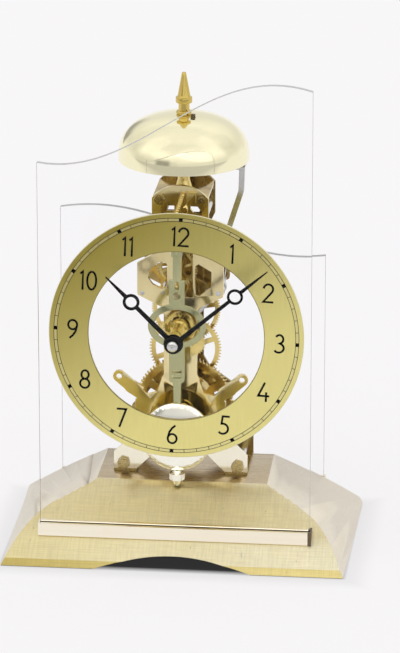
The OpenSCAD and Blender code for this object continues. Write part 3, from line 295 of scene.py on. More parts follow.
def make_floor():
    """A wide pale floor that shows the soft shadow and a painted shadow under and beside the clock; mirrored,
    it is dimmer far in front of the clock.
    """
    mesh = bpy.data.meshes.new("floor")
    corners = [(-1, -1), (1, -1), (1, 1), (-1, 1)]
    mesh.from_pydata([(x * FLOOR_REACH, y * FLOOR_REACH, 0) for x, y in corners], [], [(0, 1, 2, 3)])
    floor = bpy.data.objects.new("floor", mesh)
    scene.collection.objects.link(floor)
    material, tree, coordinates = new_material("pale_floor")
    split = axes(tree, coordinates)
    path = add(tree, "ShaderNodeLightPath").outputs
    bounces = calc(tree, "ADD", path["Glossy Depth"], path["Diffuse Depth"])
    in_view = calc(tree, "LESS_THAN", bounces, 0.5)
    mirrored = between(tree, split["Y"], MIRRORED_FAR, MIRRORED_NEAR, MIRRORED_LEVEL, 1.0)
    # The level carries the painted shadow under and beside the clock into both the diffuse colour and the
    # glow
    level = calc(tree, "MULTIPLY", calc(tree, "MAXIMUM", mirrored, in_view), under_base(tree, split))
    diffuse = add(tree, "ShaderNodeBsdfDiffuse", {"Color": scaled(tree, FLOOR_PALE, level)})
    lift = calc(tree, "MULTIPLY", seen_directly(tree), FLOOR_LIFT)
    strength = calc(tree, "MULTIPLY", lift, level)
    glow = add(tree, "ShaderNodeEmission", {"Color": FLOOR_GLOW, "Strength": strength})
    both = add(tree, "ShaderNodeAddShader", {0: diffuse.outputs[0], 1: glow.outputs[0]})
    add(tree, "ShaderNodeOutputMaterial", {"Surface": both.outputs[0]})
    mesh.materials.append(material)


make_world()
make_floor()
make_lamp("key", 0.75, (-1.0, -1.0, 2.6), 70)
make_lamp("fill", 0.3, (1.2, -0.9, 2.2), 90)


# Surface effects that several finishes share
FLOAT, VECTOR, COLOUR = "NodeSocketFloat", "NodeSocketVector", "NodeSocketColor"


def make_group(name, inputs, output, kind):
    """A group with its inputs as given and one output."""
    group = bpy.data.node_groups.new(name, "ShaderNodeTree")
    for socket_name, socket_kind, value in inputs:
        socket = group.interface.new_socket(name=socket_name, in_out="INPUT", socket_type=socket_kind)
        socket.default_value = value
    group.interface.new_socket(name=output, in_out="OUTPUT", socket_type=kind)
    return group, group.nodes.new("NodeGroupInput").outputs, group.nodes.new("NodeGroupOutput").inputs


def make_grain():
    """Fine parallel scratches: noise drawn out along one direction."""
    group, given, out = make_group("brushed_grain", [
        ("Coordinates", VECTOR, (0, 0, 0)), ("Stretch", VECTOR, (1, 1, 1)), ("Scale", FLOAT, 1000.0)],
        "Streaks", FLOAT)
    drawn = multiplied(group, given["Coordinates"], given["Stretch"])
    group.links.new(noise(group, drawn, given["Scale"], 3.0, 0.65), out["Streaks"])
    return group


# Values of the noise over which a toned cloud or a speck grows to its full depth
CLOUD_EDGE = (0.35, 0.75)
SPECK_EDGE = (0.62, 0.72)
SPECK_SCALE = 1500.0


def make_tarnish():
    """Slow drift between a clean and a toned colour, with small specks."""
    group, given, out = make_group("tarnish", [
        ("Coordinates", VECTOR, (0, 0, 0)), ("Clean", COLOUR, (1, 1, 1, 1)), ("Toned", COLOUR, (0, 0, 0, 1)),
        ("Scale", FLOAT, 60.0), ("Amount", FLOAT, 0.3), ("Specks", FLOAT, 0.1)],
        "Colour", COLOUR)
    clouds = between(group, noise(group, given["Coordinates"], given["Scale"], 4.0, 0.6), *CLOUD_EDGE)
    specks = between(group, noise(group, given["Coordinates"], SPECK_SCALE, 2.0), *SPECK_EDGE)
    mask = calc(group, "MAXIMUM", calc(group, "MULTIPLY", clouds, given["Amount"]),
                calc(group, "MULTIPLY", specks, given["Specks"]))
    group.links.new(blend(group, mask, given["Clean"], given["Toned"]), out["Colour"])
    return group


GRAIN = make_grain()
TARNISH = make_tarnish()


def brushed(tree, coordinates, stretch, scale):
    """Streaks of the shared grain, longest along the axis where stretch is least."""
    inputs = {"Coordinates": coordinates, "Stretch": stretch, "Scale": scale}
    return add(tree, "ShaderNodeGroup", inputs, node_tree=GRAIN).outputs["Streaks"]


def tarnished(tree, coordinates, clean, toned, scale, amount, specks):
    """Colour of the shared tarnish."""
    inputs = {"Coordinates": coordinates, "Clean": clean, "Toned": toned, "Scale": scale, "Amount": amount,
              "Specks": specks}
    return add(tree, "ShaderNodeGroup", inputs, node_tree=TARNISH).outputs["Colour"]


# Part of the streaks' values over which colour and gloss change
STREAKS_USED = (0.3, 0.7)
LEAST_ROUGHNESS = 0.04
# Heights between which a metal with a paler foot, a painted reflection of the pale floor and base, turns from
# its own colour to the paler one
FLOOR_REFLECTION_HEIGHTS = (64 * MM, 44 * MM)


def metal(name, clean, toned, roughness, stretch=(1, 1, 1), grain=900.0, scratch=0.15, depth=0.02,
          spread=0.08, scale=60.0, amount=0.35, specks=0.1, low=None):
    """A metal with tarnish, brushing in its colour, gloss and relief, and a paler foot painted as a
    reflection of the floor where low is given.
    """
    material, tree, coordinates = new_material(name)
    body = tarnished(tree, coordinates, clean, toned, scale, amount, specks)
    # Painted reflection: the foot turns paler, as the floor and base are mirrored there
    if low:
        body = blend(tree, between(tree, axes(tree, coordinates)["Z"], *FLOOR_REFLECTION_HEIGHTS), body, low)
    streaks = brushed(tree, coordinates, stretch, grain)
    shade = between(tree, streaks, *STREAKS_USED, 1 - scratch, 1.0)
    glossiest = max(LEAST_ROUGHNESS, roughness - spread)
    gloss = between(tree, streaks, *STREAKS_USED, roughness + spread, glossiest)
    principled(tree, {"Base Color": scaled(tree, body, shade), "Metallic": 1.0, "Roughness": gloss,
                      "Normal": relief(tree, streaks, 0.5, depth)})
    return material


LIP_TOP = 4.0 * MM
LIP_BLUR = 0.1 * MM
# Places between which a painted shade darkens the panel towards its left, and depths over which a painted
# shade on its rear begins
PANEL_SHADE_LEFT = (60 * MM, -80 * MM)
PANEL_REAR_SHADE = (-40 * MM, -34 * MM)
PANEL_REAR_SHADE_SHARE = 0.6
# Values of the streaks over which the weave darkens and a dark scratch begins, with the darkest levels
WEAVE_USED = (0.15, 0.36)
WEAVE_DARKEST = 0.86
SCRATCH_EDGE = (0.66, 0.74)
SCRATCH_DARKEST = 0.62


def make_panel_brass():
    """Lacquered sheet brushed both ways, with short dark scratches, painted shade towards its left and rear,
    and a lip along the front painted darker as painted shade.
    """
    material, tree, coordinates = new_material("cross_brushed_brass")
    split = axes(tree, coordinates)
    across = brushed(tree, coordinates, (0.05, 1, 1), 1400.0)
    upward = brushed(tree, coordinates, (1, 0.06, 0.06), 1300.0)
    weave = calc(tree, "MULTIPLY", across, upward)
    tone = tarnished(tree, coordinates, srgb(252, 244, 212), srgb(242, 229, 184), 45.0, 0.5, 0.15)
    # Painted shade: darker towards the left and over the rear, and a darker lip along the front, more so at
    # the left
    sideways = between(tree, split["X"], *PANEL_SHADE_LEFT)
    left = blend(tree, sideways, tone, srgb(240, 226, 172))
    deep = calc(tree, "MULTIPLY", between(tree, split["Y"], *PANEL_REAR_SHADE), PANEL_REAR_SHADE_SHARE)
    inner = blend(tree, deep, left, srgb(230, 214, 166))
    above = between(tree, split["Z"], LIP_TOP - LIP_BLUR, LIP_TOP + LIP_BLUR)
    lip = blend(tree, sideways, srgb(240, 222, 152), srgb(206, 186, 112))
    sheet = blend(tree, above, lip, inner)
    coarse = brushed(tree, coordinates, (1, 0.2, 0.2), 520.0)
    scratches = between(tree, coarse, *SCRATCH_EDGE, 1.0, SCRATCH_DARKEST)
    threads = between(tree, weave, *WEAVE_USED, WEAVE_DARKEST, 1.0)
    principled(tree, {"Base Color": scaled(tree, sheet, calc(tree, "MULTIPLY", threads, scratches)),
                      "Metallic": 1.0, "Roughness": 0.34, "Normal": relief(tree, weave, 0.4, 0.02)})
    return material


DIAL_LOW, DIAL_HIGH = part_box("dial_ring")
DIAL_CENTRE = (Vector(DIAL_LOW) + Vector(DIAL_HIGH)) / 2
DIAL_OUTER = (DIAL_HIGH[0] - DIAL_LOW[0]) / 2
DIAL_FACE_Y = DIAL_LOW[1]
TRACK_INNER = 58.4 * MM
TRACK_OUTER = 60.0 * MM
TRACK_BLUR = 0.05 * MM
TRACK_PALENESS = 0.45
# Heights where the dial's painted shading is pale and olive, paler low down and towards the right, and what
# each metre to the right adds to the height
PAINTED_SHADE_HEIGHTS = (75 * MM, 185 * MM)
PAINTED_SHADE_LEAN = -0.8
# Distances from the dial's two edges over which each edge line begins; the pale line at the rim is a painted
# highlight
RIM_HIGHLIGHT = (0.35 * MM, 0.2 * MM)
HOLE_LINE = (0.45 * MM, 0.3 * MM)


def dial_inner_radius():
    """Smallest distance of the dial ring from its centre."""
    ring = bpy.data.objects["dial_ring"].data
    return min(math.hypot(v.co.x - DIAL_CENTRE.x, v.co.z - DIAL_CENTRE.z) for v in ring.vertices)


def make_dial_brass():
    """Satin dial: upright brushing, painted shading from olive above to pale yellow below, a paler minute
    band and edge lines, the rim's line a painted highlight.
    """
    material, tree, coordinates = new_material("dial_brass")
    split = axes(tree, coordinates)
    # Painted shading: olive above, pale yellow below and towards the right
    height = calc(tree, "ADD", split["Z"], calc(tree, "MULTIPLY", split["X"], PAINTED_SHADE_LEAN))
    painted_shading = blend(tree, between(tree, height, *PAINTED_SHADE_HEIGHTS), srgb(255, 243, 160), srgb(180, 164, 78))
    centred = add(tree, "ShaderNodeVectorMath", {0: coordinates, 1: DIAL_CENTRE}, operation="SUBTRACT")
    flat = multiplied(tree, centred.outputs[0], (1, 0, 1))
    radius = add(tree, "ShaderNodeVectorMath", {0: flat}, operation="LENGTH").outputs["Value"]
    in_band = calc(tree, "MULTIPLY",
                   between(tree, radius, TRACK_INNER - TRACK_BLUR, TRACK_INNER + TRACK_BLUR),
                   between(tree, radius, TRACK_OUTER + TRACK_BLUR, TRACK_OUTER - TRACK_BLUR))
    band = blend(tree, calc(tree, "MULTIPLY", in_band, TRACK_PALENESS), painted_shading, srgb(236, 226, 170))
    # Painted highlight: a pale line along the dial's outer edge
    rim_highlight_mask = between(tree, radius, DIAL_OUTER - RIM_HIGHLIGHT[0], DIAL_OUTER - RIM_HIGHLIGHT[1])
    rim = blend(tree, rim_highlight_mask, band, srgb(244, 238, 205))
    hole = dial_inner_radius()
    at_hole = between(tree, radius, hole + HOLE_LINE[0], hole + HOLE_LINE[1])
    edged = blend(tree, at_hole, rim, srgb(160, 146, 86))
    streaks = brushed(tree, coordinates, (1, 1, 0.03), 2200.0)
    shade = between(tree, streaks, *STREAKS_USED, 0.93, 1.02)
    principled(tree, {"Base Color": scaled(tree, edged, shade), "Metallic": 1.0, "Roughness": 0.4,
                      "Normal": relief(tree, streaks, 0.4, 0.01)})
    return material


GLASS_IOR = 1.45


def make_glass():
    """Clear plate glass with faint smears."""
    material, tree, coordinates = new_material("clear_pane")
    smears = between(tree, noise(tree, coordinates, 18.0, 3.0), 0.5, 0.8, 0.0, 0.003)
    principled(tree, {"Base Color": (0.995, 0.995, 0.998, 1), "Transmission Weight": 1.0, "IOR": GLASS_IOR,
                      "Specular Tint": (0.12, 0.12, 0.12, 1), "Roughness": smears})
    return material


def make_glass_edge(name, colour):
    """Ground and polished edge of a pane, where the light is held in the glass."""
    material, tree, coordinates = new_material(name)
    grinding = noise(tree, coordinates, 900.0, 2.0)
    tint = scaled(tree, colour[:3], between(tree, grinding, 0.0, 1.0, 0.85, 1.1))
    principled(tree, {"Base Color": tint, "Transmission Weight": 0.35, "IOR": GLASS_IOR,
                      "Roughness": between(tree, grinding, 0.0, 1.0, 0.2, 0.45)})
    return material


PAINT_GRAIN = 2500.0


def make_paint(name, colour, roughness, sheen):
    """Dark paint or ink with a fine uneven skin."""
    material, tree, coordinates = new_material(name)
    skin = noise(tree, coordinates, PAINT_GRAIN, 2.0)
    gloss = between(tree, skin, 0.0, 1.0, roughness - 0.08, roughness + 0.1)
    principled(tree, {"Base Color": colour, "Specular IOR Level": sheen, "Roughness": gloss,
                      "Normal": relief(tree, skin, 0.3, 0.01)})
    return material


def make_felt():
    """Matted grey-brown fibres."""
    material, tree, coordinates = new_material("felt")
    fibres = noise(tree, coordinates, 3000.0, 5.0, distortion=1.5)
    principled(tree, {"Base Color": blend(tree, fibres, srgb(46, 43, 38), srgb(88, 82, 72)),
                      "Roughness": 0.95, "Sheen Weight": 0.4, "Normal": relief(tree, fibres, 0.8, 0.08)})
    return material


# Finishes of the clock's pieces
FINISHES = {
    "base_gilt": metal(
        "base_gilt", srgb(248, 240, 224), srgb(236, 224, 202), 0.38, stretch=(0.04, 1, 1), grain=1100.0,
        scratch=0.06, depth=0.01, amount=0.3, specks=0.05),
    "panel_brushed": make_panel_brass(),
    "felt": make_felt(),
    "rail_gilt": metal(
        "rail_gilt", srgb(254, 246, 226), srgb(248, 236, 206), 0.18, stretch=(0.02, 1, 1), scratch=0.03,
        depth=0.004, spread=0.03, scale=25.0, amount=0.3, specks=0.03),
    "clear_glass": make_glass(),
    # The plates' paler foot is a painted reflection of the pale floor and base
    "plate_brass": metal(
        "plate_brass", srgb(240, 224, 172), srgb(196, 176, 116), 0.16, stretch=(1, 1, 0.1), grain=1300.0,
        scratch=0.02, depth=0.001, spread=0.04, scale=70.0, specks=0.03, low=srgb(250, 244, 222)),
    "steel": metal(
        "bright_steel", srgb(222, 222, 220), srgb(186, 184, 178), 0.2, stretch=(1, 0.05, 1), grain=1500.0,
        scratch=0.06, depth=0.006),
    "nut_bronze": metal(
        "nut_bronze", srgb(190, 170, 116), srgb(140, 120, 76), 0.26, grain=700.0, scratch=0.1, depth=0.01),
    "dial_brass": make_dial_brass(),
    "wheel_brass": metal(
        "wheel_brass", srgb(232, 210, 136), srgb(168, 134, 66), 0.18, grain=1200.0, scratch=0.05,
        depth=0.002, spread=0.05),
    "bell_brass": metal(
        "bell_brass", srgb(254, 248, 212), srgb(242, 232, 176), 0.09, stretch=(1, 1, 0.1), grain=300.0,
        scratch=0.02, depth=0.002, spread=0.02, scale=30.0, amount=0.2, specks=0.02),
    "spring_steel": metal(
        "blued_steel", srgb(120, 124, 130), srgb(76, 76, 84), 0.28, stretch=(1, 1, 0.05), grain=1200.0,
        scratch=0.1, depth=0.006),
    "polished_brass": metal(
        "polished_brass", srgb(218, 194, 110), srgb(184, 150, 72), 0.12, stretch=(1, 0.05, 1), grain=800.0,
        scratch=0.04, depth=0.004, spread=0.04),
    "hand_black": make_paint("black_lacquer", (0.003, 0.003, 0.0035, 1), 0.35, 0.2),
    "strap_brass": metal(
        "strap_brass", srgb(188, 188, 144), srgb(164, 162, 114), 0.24, stretch=(1, 1, 0.04), grain=1800.0,
        scratch=0.02, depth=0.001, spread=0.04, specks=0.03),
    "bob_brass": metal(
        "bob_brass", srgb(255, 253, 240), srgb(250, 244, 220), 0.1, grain=500.0, scratch=0.02, depth=0.003,
        spread=0.03, scale=40.0, amount=0.25, specks=0.03),
}
for part in frame["record"]["subparts"]:
    node_object = bpy.data.objects[part["node"]]
    finish = FINISHES[part["material_slot"]]
    if not node_object.material_slots:
        node_object.data.materials.append(finish)
    for material_slot in node_object.material_slots:
        material_slot.material = finish
SLOT_OF = {part["node"]: part["material_slot"] for part in frame["record"]["subparts"]}
# The visible pieces of these two have another slot's metal
SLOT_OF["finial"] = "polished_brass"
SLOT_OF["rating_nut"] = "bob_brass"
BODY_OF = {node: body for body, nodes in frame["record"]["behaviour"]["bodies"].items() for node in nodes}


# Painted shade: darker copies of their slot's metal for pieces in shade, the back plate behind the wheels,
# the bell's bridge under the bell and the strips under the feet
PAINTED_SHADE_FINISHES = {
    "back_plate": metal(
        "back_plate_shaded_brass", srgb(190, 166, 104), srgb(112, 88, 48), 0.24, stretch=(1, 1, 0.1), grain=1300.0,
        scratch=0.04, depth=0.002, spread=0.05, scale=50.0, amount=0.7, specks=0.05),
    "foot_strips": metal(
        "foot_strip_shaded_brass", srgb(176, 156, 100), srgb(128, 110, 64), 0.3, scratch=0.06, depth=0.004),
    "bell_bridge": metal(
        "bridge_shaded_brass", srgb(214, 190, 122), srgb(120, 92, 48), 0.14, scratch=0.04, depth=0.002,
        spread=0.04, scale=90.0, amount=0.7, specks=0.05),
}
# Painted shade: the base's flat top, under the movement, is browner than its flanks, and its underside is
# dark
SHADED_FLAT_TOP = metal(
    "flat_top_shaded_gilt", srgb(206, 188, 156), srgb(176, 156, 124), 0.3, stretch=(0.04, 1, 1), grain=1100.0,
    scratch=0.08, depth=0.01)
FLAT_TOP_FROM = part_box("base_body")[1][2] - 1.0 * MM
UNDERSIDE_SHADE = make_paint("underside_painted_shade", (0.012, 0.011, 0.010, 1), 0.6, 0.2)
# Upright share of a face's direction from which it counts as facing up, or down
FACES_UP = 0.98
FACES_DOWN = -0.5


# Narrow bevels and smooth rounds on copies of the solids
WELD = 0.002 * MM
FLAT = math.radians(0.6)
SHARP = math.radians(30)
# The bowed piece has large warped faces, so fewer of them are joined and all are shaded smooth
BOWED = "base_body"
BOWED_FLAT = math.radians(0.02)
# Width of each node's bevel in millimetres; the other nodes have the usual one
USUAL_BEVEL = 0.1
BEVELS = {
    "base_body": 0.25, "front_panel": 0.25, "rear_rail": 0.25, "foot_nuts": 0.25,
    "pendulum_bob": 0.2, "suspension_block": 0.2,
    "front_plate": 0.18, "back_plate": 0.18,
    "dial_ring": 0.15, "bell": 0.15, "pendulum_strap": 0.15, "movement_screws": 0.15, "foot_strips": 0.15,
    "rating_nut": 0.12, "bridge_screws": 0.12, "plate_screws": 0.12,
    "hour_hand": 0.07, "minute_hand": 0.07, "great_wheel": 0.06,
    "intermediate_wheel": 0.05, "centre_wheel": 0.05, "third_wheel": 0.05, "minute_wheel": 0.05,
    "hour_wheel": 0.05, "cannon_pinion": 0.05, "escape_wheel": 0.04,
}
# An edge is bevelled where the sharp edges that meet it are longer than this many widths
ROOM_FOR_BEVEL = 2.2
# Out of sight or soft, so they keep their plain solids
LEFT_PLAIN = {"felt_pads", "mainspring"}
# A face above this area, in square metres, is flat in itself
LARGEST_ROUND = 0.002


def merged_solid(node):
    """The node's solid as one closed mesh with its flat faces joined into simple ones."""
    bm = bmesh.new()
    bm.from_mesh(bpy.data.objects[node].data)
    bmesh.ops.remove_doubles(bm, verts=bm.verts, dist=WELD)
    flat = BOWED_FLAT if node == BOWED else FLAT
    bmesh.ops.dissolve_limit(bm, angle_limit=flat, verts=bm.verts, edges=bm.edges)
    bmesh.ops.connect_verts_concave(bm, faces=[face for face in bm.faces if len(face.verts) > 4])
    return bm


def bevel_edges(bm, width, segments=1):
    """Bevel the sharp edges that have room for it."""
    sharp = {edge for edge in bm.edges if len(edge.link_faces) == 2 and edge.calc_face_angle(0) > SHARP}

    def roomy(edge):
        return all(near.calc_length() > ROOM_FOR_BEVEL * width
                   for vert in edge.verts for near in vert.link_edges if near in sharp)

    bmesh.ops.bevel(bm, geom=[edge for edge in bm.edges if edge in sharp and roomy(edge)], offset=width,
                    offset_type="OFFSET", segments=segments, profile=0.5, affect="EDGES", clamp_overlap=True)


def flat_piece(name, bm, materials, body):
    """Turn the mesh into a flat-shaded piece, riding on its body."""
    mesh = bpy.data.meshes.new(name)
    bm.to_mesh(mesh)
    bm.free()
    for material in materials:
        mesh.materials.append(material)
    piece = bpy.data.objects.new(name, mesh)
    scene.collection.objects.link(piece)
    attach(piece, body)
    return piece


def smooth_piece(name, bm, materials, body, instead_of=()):
    """Turn the mesh into a piece with smooth rounds that stands for the nodes given."""
    piece = flat_piece(name, bm, materials, body)
    piece.data.set_sharp_from_angle(angle=SHARP)
    for polygon in piece.data.polygons:
        polygon.use_smooth = polygon.area < LARGEST_ROUND or BOWED in instead_of
    if instead_of:
        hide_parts(*instead_of)


def face_the_base(bm, node):
    """Give the base's flat top and its undersides the second and third of its materials, the painted shade.
    """
    bm.normal_update()
    for face in bm.faces:
        if face.normal.z < FACES_DOWN:
            face.material_index = 2
        elif node == BOWED and face.normal.z > FACES_UP and face.calc_center_median().z > FLAT_TOP_FROM:
            face.material_index = 1


def bevelled_piece(node):
    """The node's solid with its edges bevelled."""
    bm = merged_solid(node)
    bevel_edges(bm, BEVELS.get(node, USUAL_BEVEL) * MM)
    slot_name = SLOT_OF[node]
    # A piece in painted shade takes its darker copy of the metal
    materials = [PAINTED_SHADE_FINISHES.get(node, FINISHES[slot_name])]
    if node in (BOWED, "front_panel"):
        materials += [SHADED_FLAT_TOP, UNDERSIDE_SHADE]
        face_the_base(bm, node)
    smooth_piece(node + "_bevelled", bm, materials, BODY_OF[node], [node])


# The rear pane's edges are a darker copy of the front's, painted shade
PANE_EDGES = {"front_glass": make_glass_edge("front_pane_edge", srgb(212, 212, 210)),
              "rear_glass": make_glass_edge("rear_pane_edge", srgb(190, 192, 190))}
# Front-to-back share of a face's direction from which it is one of a pane's two broad faces
FACES_AHEAD = 0.9


def glass_pane(node):
    """A pane whose narrow faces show the paler look of cut glass."""
    bm = merged_solid(node)
    bm.normal_update()
    for face in bm.faces:
        face.material_index = 0 if abs(face.normal.y) > FACES_AHEAD else 1
    materials = [FINISHES["clear_glass"], PANE_EDGES[node]]
    smooth_piece(node + "_pane", bm, materials, BODY_OF[node], [node])


# Sideways place where the front rail's strip ends and its dark plug begins
RAIL_END = 65.3 * MM
RAIL_BEVEL = 0.8 * MM
RAIL_ROUNDING = 3
PLUG = metal("end_plug_brown", srgb(120, 104, 84), srgb(84, 72, 58), 0.35, scratch=0.1, depth=0.01)


def cut_rail(keep_left):
    """The front rail on one side of its joint with the end plug."""
    bm = merged_solid("front_rail")
    bmesh.ops.bisect_plane(bm, geom=bm.verts[:] + bm.edges[:] + bm.faces[:], plane_co=(RAIL_END, 0, 0),
                           plane_no=(1, 0, 0), clear_outer=keep_left, clear_inner=not keep_left)
    bmesh.ops.holes_fill(bm, edges=[edge for edge in bm.edges if edge.is_boundary], sides=0)
    bmesh.ops.recalc_face_normals(bm, faces=bm.faces)
    bevel_edges(bm, RAIL_BEVEL, RAIL_ROUNDING)
    return bm


for node in SLOT_OF:
    if node in PANE_EDGES:
        glass_pane(node)
    elif node != "front_rail" and node not in LEFT_PLAIN:
        bevelled_piece(node)
smooth_piece("front_rail_strip", cut_rail(True), [FINISHES["rail_gilt"]], "frame",
             ["front_rail"])
smooth_piece("front_rail_plug", cut_rail(False), [PLUG], "frame", ["front_rail"])


# Small peg on the crown of the bell
PEG_RADIUS = 1.3 * MM
PEG_TALL = 1.6 * MM
PEG_FROM_AXIS = (5.0 * MM, -4.2 * MM)
PEG_SIDES = 20
# Shares of the peg's radius and height, from its seat to its head
PEG_PROFILE = [(1.0, -0.15), (1.0, 0.15), (0.72, 0.22), (0.72, 0.45), (0.95, 0.55), (0.95, 0.85), (0.55, 1.0)]


def close_rings(bm, rings):
    """Walls between each ring of corners and the next, and a face over each end."""
    for first, second in zip(rings, rings[1:]):
        for i in range(len(first)):
            j = (i + 1) % len(first)
            bm.faces.new((first[i], first[j], second[j], second[i]))
    bm.faces.new(rings[0][::-1])
    bm.faces.new(rings[-1])


def bell_peg():
    """A dark turned stud that is seated on the bell, with a rounded head."""
    low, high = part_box("bell")
    x = (low[0] + high[0]) / 2 + PEG_FROM_AXIS[0]
    y = (low[1] + high[1]) / 2 + PEG_FROM_AXIS[1]
    crown = bmesh.new()
    crown.from_mesh(bpy.data.objects["bell"].data)
    above = Vector((x, y, high[2] + PEG_TALL))
    seat = BVHTree.FromBMesh(crown).ray_cast(above, Vector((0, 0, -1)))[0].z
    crown.free()
    bm = bmesh.new()
    turns = [2 * math.pi * i / PEG_SIDES for i in range(PEG_SIDES)]
    rings = [[bm.verts.new((x + PEG_RADIUS * share * math.cos(turn), y + PEG_RADIUS * share * math.sin(turn),
                            seat + PEG_TALL * level)) for turn in turns] for share, level in PEG_PROFILE]
    close_rings(bm, rings)
    smooth_piece("bell_peg", bm, [PLUG], "frame")


bell_peg()


# Print on the dial; it rises a little from the dial's face and is turned with it
PRINT_RISE = 0.04 * MM
PRINT_DEPTH = 0.06 * MM
PRINT_TURN = math.radians(2.3)
INK = make_paint("dial_ink", (0.004, 0.004, 0.004, 1), 0.5, 0.08)


def dial_point(across, up):
    """A point of the print, turned with it, on the face of the dial."""
    x = across * math.cos(PRINT_TURN) + up * math.sin(PRINT_TURN)
    z = -across * math.sin(PRINT_TURN) + up * math.cos(PRINT_TURN)
    return DIAL_CENTRE.x + x, DIAL_CENTRE.z + z


def arc(cx, cy, rx, ry, start, end, steps=14):
    """Points on an oval's edge between two angles in degrees."""
    return [(cx + rx * math.cos(math.radians(start + (end - start) * i / steps)),
             cy + ry * math.sin(math.radians(start + (end - start) * i / steps))) for i in range(steps + 1)]


# Strokes of each figure on a body one unit tall, standing on zero
FIGURES = {
    "0": (0.50, [arc(0.25, 0.5, 0.22, 0.46, 90, 450, 28)]),
    "1": (0.20, [[(0.02, 0.82), (0.15, 0.955), (0.15, 0.0)]]),
    "2": (0.52, [arc(0.26, 0.71, 0.23, 0.245, 175, -38) + [(0.03, 0.045), (0.53, 0.045)]]),
    "3": (0.48, [arc(0.21, 0.735, 0.19, 0.22, 150, -80) + arc(0.19, 0.28, 0.25, 0.235, 82, -145)]),
    "4": (0.58, [[(0.34, 1.0), (0.03, 0.30), (0.58, 0.30)], [(0.42, 0.50), (0.42, 0.0)]]),
    "5": (0.48, [[(0.50, 0.955), (0.15, 0.955), (0.11, 0.57)] + arc(0.18, 0.31, 0.26, 0.265, 96, -140)]),
    "6": (0.50, [[(0.40, 0.98), (0.24, 0.83), (0.11, 0.62)] + arc(0.26, 0.28, 0.22, 0.24, 160, 520, 28)]),
    "7": (0.48, [[(0.0, 0.955), (0.47, 0.955), (0.16, 0.0)]]),
    "8": (0.50, [arc(0.25, 0.735, 0.18, 0.22, -90, 270, 24), arc(0.25, 0.275, 0.23, 0.235, 90, 450, 24)]),
    "9": (0.50, [[(0.10, 0.02), (0.26, 0.17), (0.39, 0.38)] + arc(0.24, 0.72, 0.22, 0.24, -20, 340, 28)]),
}
# Height of the figures, distance of their middles from the dial's centre and width of a stroke, in mm
FIGURE_TALL = 9.9
FIGURE_RADIUS = 50.7
STROKE = 1.05
# Space between two figures, as a share of their height
FIGURE_SPACE = 0.14
# A bend is never mitred by more than the inverse of this
SHARPEST_MITRE = 0.5


def ribbon(bm, points, width):
    """A flat stroke of even width through the points, with mitred bends, as a thin closed strip."""
    front, back = DIAL_FACE_Y - PRINT_RISE, DIAL_FACE_Y + PRINT_DEPTH - PRINT_RISE
    rings = []
    for i, point in enumerate(points):
        here = Vector(point)
        before = here - Vector(points[i - 1]) if i else None
        after = Vector(points[i + 1]) - here if i < len(points) - 1 else None
        before, after = before or after, after or before
        tangent = (before.normalized() + after.normalized()).normalized()
        normal = Vector((-tangent.y, tangent.x))
        straight = normal.dot(Vector((-after.normalized().y, after.normalized().x)))
        side = normal * width / 2 / max(SHARPEST_MITRE, straight)
        ring = []
        for flat, y in ((here + side, front), (here - side, front), (here - side, back), (here + side, back)):
            x, z = dial_point(flat.x * MM, flat.y * MM)
            ring.append(bm.verts.new((x, y, z)))
        rings.append(ring)
    close_rings(bm, rings)


def make_figures():
    """The hours 1 to 12, each upright and centred on its place around the dial."""
    bm = bmesh.new()
    for hour in range(1, 13):
        text = str(hour)
        widths = [FIGURES[letter][0] for letter in text]
        full = (sum(widths) + FIGURE_SPACE * (len(text) - 1)) * FIGURE_TALL
        angle = math.radians(30 * hour)
        start = FIGURE_RADIUS * math.sin(angle) - full / 2
        base = FIGURE_RADIUS * math.cos(angle) - FIGURE_TALL / 2
        for letter, width in zip(text, widths):
            for stroke in FIGURES[letter][1]:
                ribbon(bm, [(start + x * FIGURE_TALL, base + y * FIGURE_TALL) for x, y in stroke], STROKE)
            start += (width + FIGURE_SPACE) * FIGURE_TALL
    bmesh.ops.recalc_face_normals(bm, faces=bm.faces)
    flat_piece("dial_figures", bm, [INK], "frame")


TRACK_LINE = 0.25 * MM
HOUR_SQUARE = 1.9 * MM
RING_POINTS = 160


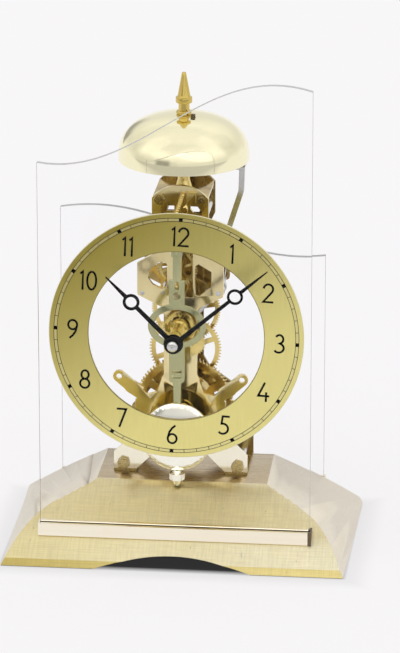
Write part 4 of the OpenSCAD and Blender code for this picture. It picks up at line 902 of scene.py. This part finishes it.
def track_tree():
    """Minute track: two fine rings, a tick for each minute and a square for each hour."""
    tree = bpy.data.node_groups.new("minute_track", "GeometryNodeTree")
    sizes = {"Inner Radius": TRACK_INNER, "Outer Radius": TRACK_OUTER, "Line": TRACK_LINE,
             "Square": HOUR_SQUARE, "Depth": PRINT_DEPTH}
    for name, value in sizes.items():
        socket = tree.interface.new_socket(name=name, in_out="INPUT", socket_type=FLOAT)
        socket.default_value = value
    tree.interface.new_socket(name="Geometry", in_out="OUTPUT", socket_type="NodeSocketGeometry")
    size, out = tree.nodes.new("NodeGroupInput").outputs, tree.nodes.new("NodeGroupOutput").inputs

    def put(kind, inputs=None):
        return add(tree, kind, inputs).outputs[0]

    def ring(radius):
        circle = put("GeometryNodeCurvePrimitiveCircle", {"Resolution": RING_POINTS, "Radius": radius})
        line = {"Width": size["Line"], "Height": size["Depth"]}
        section = put("GeometryNodeCurvePrimitiveQuadrilateral", line)
        return put("GeometryNodeCurveToMesh", {"Curve": circle, "Profile Curve": section})

    def around(count, shape, radius):
        dots = put("GeometryNodeMeshCircle", {"Vertices": count, "Radius": radius})
        turn = calc(tree, "MULTIPLY", put("GeometryNodeInputIndex"), 2 * math.pi / count)
        rotation = put("ShaderNodeCombineXYZ", {"Z": turn})
        return put("GeometryNodeInstanceOnPoints", {"Points": dots, "Instance": shape, "Rotation": rotation})

    def block(length, width):
        corner = put("ShaderNodeCombineXYZ", {"X": length, "Y": width, "Z": size["Depth"]})
        return put("GeometryNodeMeshCube", {"Size": corner})

    middle = calc(tree, "MULTIPLY", calc(tree, "ADD", size["Inner Radius"], size["Outer Radius"]), 0.5)
    gap = calc(tree, "SUBTRACT", size["Outer Radius"], size["Inner Radius"])
    join = add(tree, "GeometryNodeJoinGeometry")
    for geometry in (ring(size["Inner Radius"]), ring(size["Outer Radius"]),
                     around(60, block(gap, size["Line"]), middle),
                     around(12, block(size["Square"], size["Square"]), middle)):
        tree.links.new(geometry, join.inputs[0])
    real = put("GeometryNodeRealizeInstances", {0: join.outputs[0]})
    tree.links.new(put("GeometryNodeSetMaterial", {"Geometry": real, "Material": INK}), out[0])
    return tree


def bake_nodes(name, tree, move):
    """Run a geometry tree once and keep its result as a plain mesh."""
    holder = bpy.data.objects.new(name + "_maker", bpy.data.meshes.new(name + "_maker"))
    scene.collection.objects.link(holder)
    modifier = holder.modifiers.new("nodes", "NODES")
    modifier.node_group = tree
    evaluated = holder.evaluated_get(bpy.context.evaluated_depsgraph_get())
    mesh = bpy.data.meshes.new_from_object(evaluated)
    bpy.data.objects.remove(holder)
    for vertex in mesh.vertices:
        vertex.co = move(vertex.co)
    piece = bpy.data.objects.new(name, mesh)
    scene.collection.objects.link(piece)
    return piece


def on_dial(co):
    """A point of the flat track, moved onto the face of the dial."""
    x, z = dial_point(co.x, co.y)
    return Vector((x, DIAL_FACE_Y + PRINT_DEPTH / 2 - PRINT_RISE - co.z, z))


make_figures()
minute_track = bake_nodes("minute_track", track_tree(), on_dial)
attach(minute_track, "frame")
